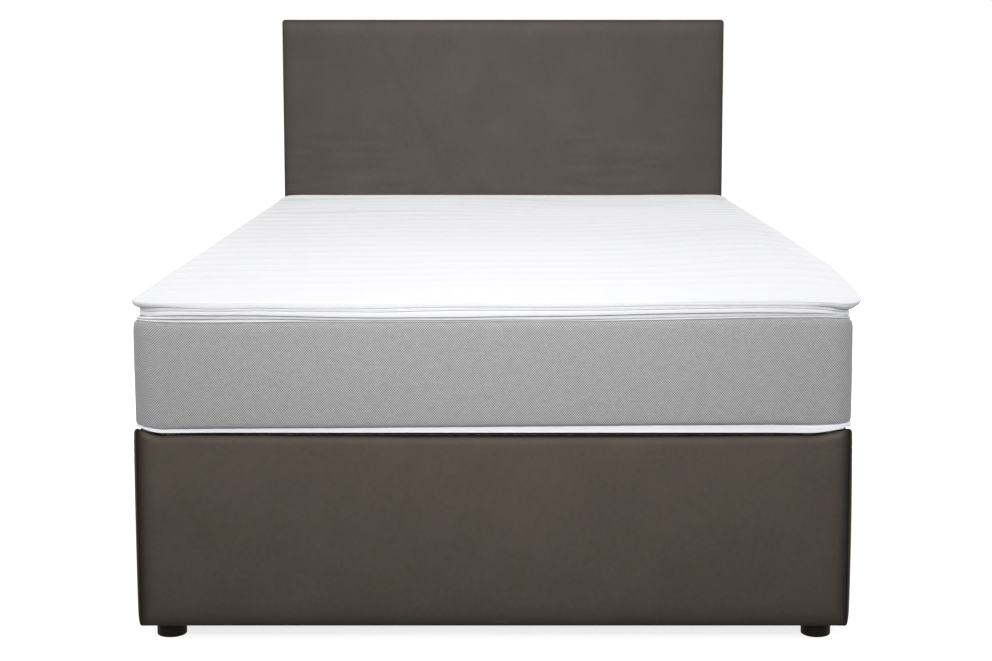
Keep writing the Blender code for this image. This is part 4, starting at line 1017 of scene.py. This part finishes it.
def build_topper():
    """The topper's quilted upper half, down to its seam with the zip's tape."""
    half_x = quilt_high[0] - 2.5 * MM
    half_y = (quilt_high[1] - quilt_low[1]) / 2
    middle = (quilt_high[1] + quilt_low[1]) / 2
    radius = TOPPER_CORNER
    rows, columns = 600, 240
    edge = 7 * MM
    x1 = crowded(columns, 0.86, half_x - edge)
    t = np.linspace(-1, 1, rows)
    y1 = (half_y - edge) * (0.55 * t + 0.45 * np.sin(t * math.pi / 2 * 0.9) / math.sin(math.pi / 2 * 0.9))
    x, y = np.meshgrid(x1, y1)
    px, py = into_corner(x, y, half_x - edge, half_y - edge, radius - edge)
    inside = edge_distance(px, py, half_x, half_y, radius)
    steep_head = np.where(py > 0, np.maximum(half_y - 2.4 * (half_y - py), 0), py)
    fall = roll(edge_distance(px, steep_head, half_x, half_y, radius), 0.038, 2.3)
    top = quilt_high[2]
    widest = MATTRESS_TOP + 28.0 * MM
    at_head = eased(1 - (half_y - py) / 0.16)
    puff_front = across_front(px, ZIP_UPPER, 160) - 17.5
    at_foot = eased(1 - (half_y + py) / 0.35)
    crown = widest + (top - widest) * fall + (5.5 * at_head + 0.55 * puff_front * at_foot) * fall * MM
    stray = strays(x, y)
    ends = eased((half_y - np.abs(y)) / 0.16)
    places = np.stack([x, y, x * 0], -1)
    wander = fractal(places, 0.09, 31, 1) * 2.5 * MM
    turn = (y + stray * ends + wander * ends) / (2 * half_y) * CHANNELS
    puff = np.abs(np.sin(turn * math.pi)) ** 0.75
    deep = np.interp(y, (-1.0, -0.85, -0.6, 0.0, 0.9), (1.2, 1.6, 4.6, 5.6, 7.0)) * MM
    depth = deep * roll(inside, 0.10)
    soft = fractal(places, 0.20, 32, 2) * 0.5 * MM * roll(inside, 0.10)
    z = crown - depth * (1 - puff) + soft
    grid = np.stack([px, py + middle, z], -1).reshape(-1, 3)
    faces = quads(rows, columns)
    index = np.array([i * columns + j for i, j in grid_edge(rows, columns)])
    start = grid[index]
    qx = np.clip(np.abs(start[:, 0]) - (half_x - radius), 0, None) * np.sign(start[:, 0])
    qy = start[:, 1] - middle
    qy = np.clip(np.abs(qy) - (half_y - radius), 0, None) * np.sign(qy)
    length = np.hypot(qx, qy)
    normal = np.stack([qx / length, qy / length], -1)
    tip = start[:, :2] + normal * edge
    front = foot_share(tip, half_x, half_y, middle)
    set_back = 3.0 * MM * front
    seam_in = 12.8 * MM - 8.0 * MM * front
    seam = front_line(tip, ZIP_UPPER, 16.9, 33) + 0.2 * MM
    shoulder = widest + 0.6 * (seam - MATTRESS_TOP - 17.5 * MM)
    verts = [grid]

    # Painted shade in the quilting's valleys and painted light on its ridges, stronger towards the head end
    # and none near the edges
    painted_valley_shade = (0.7 - puff) * np.interp(y, (-0.95, -0.75, 0.0, 0.3, 0.9), (0.0, 0.14, 0.40, 0.62, 0.85))
    painted_valley_shade = painted_valley_shade * roll(inside, 0.06)
    painted_shade_marks = [painted_valley_shade.reshape(-1)]

    def ring(inset, height, mark=0.0):
        verts.append(np.concatenate([tip - normal * inset[:, None], height[:, None]], 1))
        painted_shade_marks.append(np.full(len(tip), 1.0) * mark)

    for angle in np.linspace(0.35, math.pi / 2, 6):
        ring(edge + (set_back - edge) * math.sin(angle) ** 0.9,
             shoulder + (start[:, 2] - shoulder) * math.cos(angle))
    # Painted shade along the zip's upper seam, faint in the middle and stronger towards the sides
    line = 0.02 + 0.50 * (tip[:, 0] / half_x) ** 2
    # A second, faint fold runs over the roll on the right half of the foot end: a slight dent, with painted
    # shade along it
    fold = 0.5 * eased((tip[:, 0] - 0.26) / 0.10) * eased((-tip[:, 1] - half_y + 0.10) / 0.05)
    for k, angle in enumerate(np.linspace(0.20, math.pi / 2 * 0.93, 8)):
        ring(set_back + (seam_in - set_back) * (1 - math.cos(angle)) + (0.5 * MM * fold if k == 0 else 0.0),
             shoulder - (shoulder - seam) * math.sin(angle),
             fold if k == 0 else line * 0.3 * max(0.0, math.sin(angle) - 0.9) / 0.1)
    ring(seam_in + 0.7 * MM, seam, line)
    # At the foot end it is tucked in behind the tape, so no slit opens between the two.
    # The slider's run is left free.
    at_end = eased((-tip[:, 1] - 0.985) / 0.020)
    ring(seam_in + (3.0 + 2.2 * at_end) * MM, seam + (0.5 - 3.5 * at_end) * MM, line + 0.3)
    ring(seam_in + 14.0 * MM, seam * 0 + MATTRESS_TOP + 17.5 * MM)
    ring(seam_in + 20.0 * MM, seam * 0 + MATTRESS_TOP + 17.5 * MM)
    count = len(index)
    current = index
    for k in range(len(verts) - 1):
        following = np.arange(count) + len(grid) + k * count
        ahead, behind = np.roll(current, -1), np.roll(following, -1)
        faces += np.stack([ahead, current, following, behind], -1).tolist()
        current = following
    faces.append(current.tolist())
    points = np.concatenate(verts)
    points[:, 0] += ASIDE
    points = flared(points)
    made = mesh_object("topper_quilt", points, faces, WHITE)
    store_painted_shade(made, np.concatenate(painted_shade_marks))
    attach(made, "topper")
    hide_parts("topper_cover_top")
    build_topper_sides(half_x, half_y, radius, middle)


def build_topper_sides(half_x, half_y, radius, middle):
    """The zip's two tapes and the lower half of the cover, which follow the quilt's lower seam."""
    outline = Outline(half_x, half_y, radius, middle, step=0.010, corner_steps=16)
    outline.points[:, 0] += ASIDE
    points = outline.points
    n = len(points)
    front = foot_share(points, half_x, half_y, middle)
    tuck = 13.1 * MM - 8.0 * MM * front
    # Painted shade along the zip's seams, faint in the middle and stronger towards the sides
    line = 0.02 + 0.50 * (points[:, 0] / half_x) ** 2
    upper = front_line(points, ZIP_UPPER, 16.9, 33)
    lower = front_line(points, ZIP_LOWER, 11.5, 33)
    halfway = (upper + lower) / 2
    # Along the slider's run the tapes keep the face, the slit and the thickness that it fits
    run = eased((points[:, 0] - 0.57) / 0.015) * eased((points[:, 1] + 0.99) / 0.015)
    run = run * eased((0.93 - points[:, 1]) / 0.015)
    face_in = half_x + ASIDE - span("topper_zip_upper")[1][0] + 0.05 * MM
    tape_in = tuck + (face_in - tuck) * run
    above = halfway + 0.10 * MM + (span("topper_zip_upper")[0][2] - halfway - 0.10 * MM) * run
    below = halfway - 0.10 * MM + (span("topper_zip_lower")[1][2] - halfway + 0.10 * MM) * run
    for name, low, high in (("upper", above, upper - 0.1 * MM), ("lower", lower + 0.35 * MM, below)):
        insets, heights = [], []
        painted_shade_marks = []
        for share in np.linspace(0, 1, 11):
            # Sewn in along its outer edge, and only folded along the zip
            sewn = 1 - share if name == "upper" else share
            deep = 1.1 * (1 - float(roll(sewn, 0.7))) + 0.3 * (1 - float(roll(1 - sewn, 0.5)))
            insets.append(tape_in + deep * MM * (1 - run))
            heights.append(low + (high - low) * share)
            painted_shade_marks.append(line * max(0.0, 1 - sewn / 0.22))
        insets += [tape_in + (4.0 - 2.5 * run) * MM] * 2
        heights += [high, low]
        made = sweep(f"zip_tape_{name}", outline, np.stack(insets, 1), np.stack(heights, 1), TAPE)
        store_painted_shade(made, np.stack(painted_shade_marks + [line, line], 1))
        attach(made, "topper")
        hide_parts(f"topper_zip_{name}")
    level = tray_low[2]
    foot = np.maximum(front_line(points, TOPPER_FOOT, 1.0, 53), level)
    high = lower - 0.1 * MM
    parts = [(12.0 * MM + tuck, high - 0.5 * MM), (tuck + 3 * MM, high), (tuck + 1.3 * MM, high - 0.05 * MM)]
    # Painted shade under the cover's lower roll, darkest where it rests on the mattress
    painted_shade_marks = [0.0, 0.25, 0.1]
    for angle in np.linspace(math.pi / 2 * 0.88, -math.pi / 2 * 0.97, 13):
        bulge = math.cos(angle) ** 0.6
        lean = 0.9 * MM * front * (0.5 - 0.5 * math.sin(angle))
        parts.append((tuck + 1.2 * MM + lean - 1.2 * MM * bulge,
                      (high + foot) / 2 + (high - foot) / 2 * math.sin(angle)))
        painted_shade_marks.append(max(0.0, (-math.sin(angle) - 0.92) / 0.08) * 0.9)
    parts.append((np.maximum(tuck + 5 * MM, 15.5 * MM), foot))
    painted_shade_marks.append(1.0)
    for inset, share in ((17.0, 0.97), (20.0, 0.6), (23.0, 0.15), (25.0, 0.0)):
        parts.append((np.maximum(tuck + 6 * MM, inset * MM), level + (foot - level) * share))
    insets, heights = [inset for inset, _ in parts], [height for _, height in parts]
    for inset, drop in ((40, 0.0), (46, 0.4), (50, 1.6)):
        insets.append(np.full(n, inset * MM))
        heights.append(np.full(n, level + drop * MM))
    insets = [np.full(n, 1.0) * inset for inset in insets]
    flat = MATTRESS_TOP + 10.5 * MM
    insets = [np.full(n, 50 * MM), np.full(n, 40 * MM), *insets]
    heights = [np.full(n, flat), np.full(n, flat), *heights]
    made = sweep("topper_underside", outline, np.stack(insets, 1)[:, ::-1], np.stack(heights, 1)[:, ::-1],
                 WHITE, cap=True)
    painted_shade_marks = np.array([0.0, 0.0] + painted_shade_marks + [0.0] * (len(insets) - 2 - len(painted_shade_marks)))
    store_painted_shade(made, np.tile(painted_shade_marks[::-1], (n, 1)))
    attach(made, "topper")
    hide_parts("topper_cover_bottom")
    open_field("topper_underside_field", "topper_cover_bottom", "topper",
               half_x - 43 * MM, half_y - 43 * MM, 12 * MM, middle, level, -1, ASIDE)
    build_topper_foam(half_x, half_y, radius, middle)


def build_topper_foam(half_x, half_y, radius, middle):
    """The foam sheet in the cover, clear of the cover's raised edge at the foot end."""
    low, high = (corner[2] for corner in span("topper_foam"))
    outline = Outline(half_x, half_y, radius, middle, step=0.020, corner_steps=16)
    outline.points[:, 0] += ASIDE
    section = ((60.0, low), (30.0, low), (28.2, low + 0.5 * MM), (27.5, low + 2.0 * MM),
               (27.5, high - 2.0 * MM), (28.2, high - 0.5 * MM), (30.0, high), (60.0, high))
    insets, heights = (np.tile(values, (len(outline.points), 1)) for values in zip(*section))
    made = sweep("topper_foam_sheet", outline, insets * MM, heights, FOAM, cap=True)
    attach(made, "topper")
    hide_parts("topper_foam")


# ---- Carried-over pieces

def dress_frame():
    """Gives the frame's own pieces that stay in the scene their materials."""
    rules = (
        (("frame_", "corner_block", "cross_slat", "headboard_board"), PINE),
        (("foot_screw", "headboard_bolt", "headboard_nut"), STEEL),
        (("zip_slider", "zip_pull"), ZIP_METAL),
        (("base_felt",), FELT),
        (("base_spring", "mattress_spring"), POCKET),
        (("base_foam", "base_edge", "headboard_foam", "mattress_bottom_foam",
          "mattress_edge", "mattress_top_foam"), FOAM),
    )
    for name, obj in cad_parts.items():
        for starts, material in rules:
            if name.startswith(starts):
                obj.data.materials.clear()
                obj.data.materials.append(material)


# ---- Studio

def seen_white(tree):
    """1 for the rays that see the background: from the camera, by gloss or through glass."""
    path = tree.node("ShaderNodeLightPath").outputs
    more = tree.math("MAXIMUM", path["Is Glossy Ray"], path["Is Transmission Ray"])
    return tree.math("MAXIMUM", path["Is Camera Ray"], more)


def build_studio():
    """A white ground and a white surround, which light the bed less than they show."""
    mesh = bpy.data.meshes.new("floor")
    size = 30.0
    mesh.from_pydata([(-size, -size, 0), (size, -size, 0), (size, size, 0), (-size, size, 0)],
                     [], [(0, 1, 2, 3)])
    floor = bpy.data.objects.new("floor", mesh)
    SCENE.collection.objects.link(floor)
    material = bpy.data.materials.new("floor_white")
    tree = Tree(material)
    tree.nodes.clear()
    grey = tree.node("ShaderNodeBsdfDiffuse", {"Color": (0.16, 0.16, 0.16, 1)})
    white = tree.node("ShaderNodeBsdfDiffuse", {"Color": (0.60, 0.60, 0.60, 1)})
    # Far from the bed and its lamps the ground gives all of its own white
    away = tree.node("ShaderNodeVectorMath", {0: tree.coordinates()}, operation="LENGTH").outputs["Value"]
    glow = tree.node("ShaderNodeEmission", {"Strength": tree.mapped(away, 2.0, 4.5, 0.78, 1.0)})
    both = tree.node("ShaderNodeAddShader", {0: white.outputs[0], 1: glow.outputs[0]})
    mix = tree.node("ShaderNodeMixShader", {0: seen_white(tree), 1: grey.outputs[0], 2: both.outputs[0]})
    tree.node("ShaderNodeOutputMaterial", {"Surface": mix.outputs[0]})
    mesh.materials.append(material)

    world = bpy.data.worlds.new("studio")
    SCENE.world = world
    tree = Tree(world)
    tree.nodes.clear()
    dim, bright = (tree.node("ShaderNodeBackground", {"Color": (1, 1, 1, 1), "Strength": strength})
                   for strength in (0.27, 1.0))
    mix = tree.node("ShaderNodeMixShader", {0: seen_white(tree), 1: dim.outputs[0], 2: bright.outputs[0]})
    tree.node("ShaderNodeOutputWorld", {"Surface": mix.outputs[0]})


def aimed(name, data, location, target):
    """Places a lamp, out of the camera's sight, and turns it towards its target."""
    obj = bpy.data.objects.new(name, data)
    obj.location = location
    aim = Vector(target) - Vector(location)
    obj.rotation_euler = aim.to_track_quat("-Z", "Y").to_euler()
    obj.visible_camera = False
    SCENE.collection.objects.link(obj)


def area_light(name, location, target, width, height, power):
    """A softbox."""
    data = bpy.data.lights.new(name, "AREA")
    data.shape = "RECTANGLE"
    data.size, data.size_y, data.energy = width, height, power
    aimed(name, data, location, target)


def spot_light(name, location, target, half_angle, radius, power):
    """A soft lamp whose light fades evenly to nothing at half_angle from its middle."""
    data = bpy.data.lights.new(name, "SPOT")
    data.energy, data.spot_size, data.spot_blend = power, math.radians(2 * half_angle), 1.0
    data.shadow_soft_size = radius
    aimed(name, data, location, target)


def build_lights():
    """A broad lamp from the front that fades towards the floor, a key over the camera, and
    weaker fills for the sides and the back."""
    spot_light("front_lamp", (0.0, -5.2, 1.8), (0.0, 0.97, 1.2), 22, 0.35, 600)
    area_light("key_softbox", (-0.1, -3.9, 2.4), (0, -0.9, 0.4), 1.6, 1.0, 38)
    spot_light("headboard_lamp", (0.0, -5.2, 1.8), (-0.03, 0.97, 0.90), 7.9, 0.35, 330)
    area_light("overhead_softbox", (0.0, 0.6, 4.5), (0, 0.4, 0.58), 1.4, 1.2, 13)
    area_light("headboard_softbox", (0.0, -2.4, 3.4), (0, 0.97, 0.85), 1.4, 0.8, 17)
    area_light("left_fill", (-3.9, 0.6, 1.8), (-0.5, 0.0, 0.3), 1.8, 1.2, 66)
    area_light("right_fill", (3.9, 0.6, 1.8), (0.5, 0.0, 0.3), 1.8, 1.2, 66)
    area_light("rear_fill", (0.0, 4.3, 2.0), (0, 1.0, 0.5), 1.8, 1.2, 80)


def build_camera():
    """The photograph's eye: a little right of the middle, a metre up, looking slightly down."""
    data = bpy.data.cameras.new("camera")
    data.sensor_width = SENSOR
    data.lens = FOCAL_LENGTH / PHOTO_WIDTH * SENSOR
    data.shift_x, data.shift_y = -0.0227, -0.08
    data.clip_start, data.clip_end = 0.1, 100.0
    camera = bpy.data.objects.new("camera", data)
    camera.location = EYE
    camera.rotation_euler = (math.radians(90 - LOOKS_DOWN), 0.0, 0.0)
    SCENE.collection.objects.link(camera)
    SCENE.camera = camera


def main():
    SCENE.view_settings.view_transform = "Standard"
    build_camera()
    build_studio()
    build_lights()
    build_base()
    build_base_cloths()
    build_feet()
    build_headboard()
    build_mattress()
    build_topper()
    dress_frame()


main()
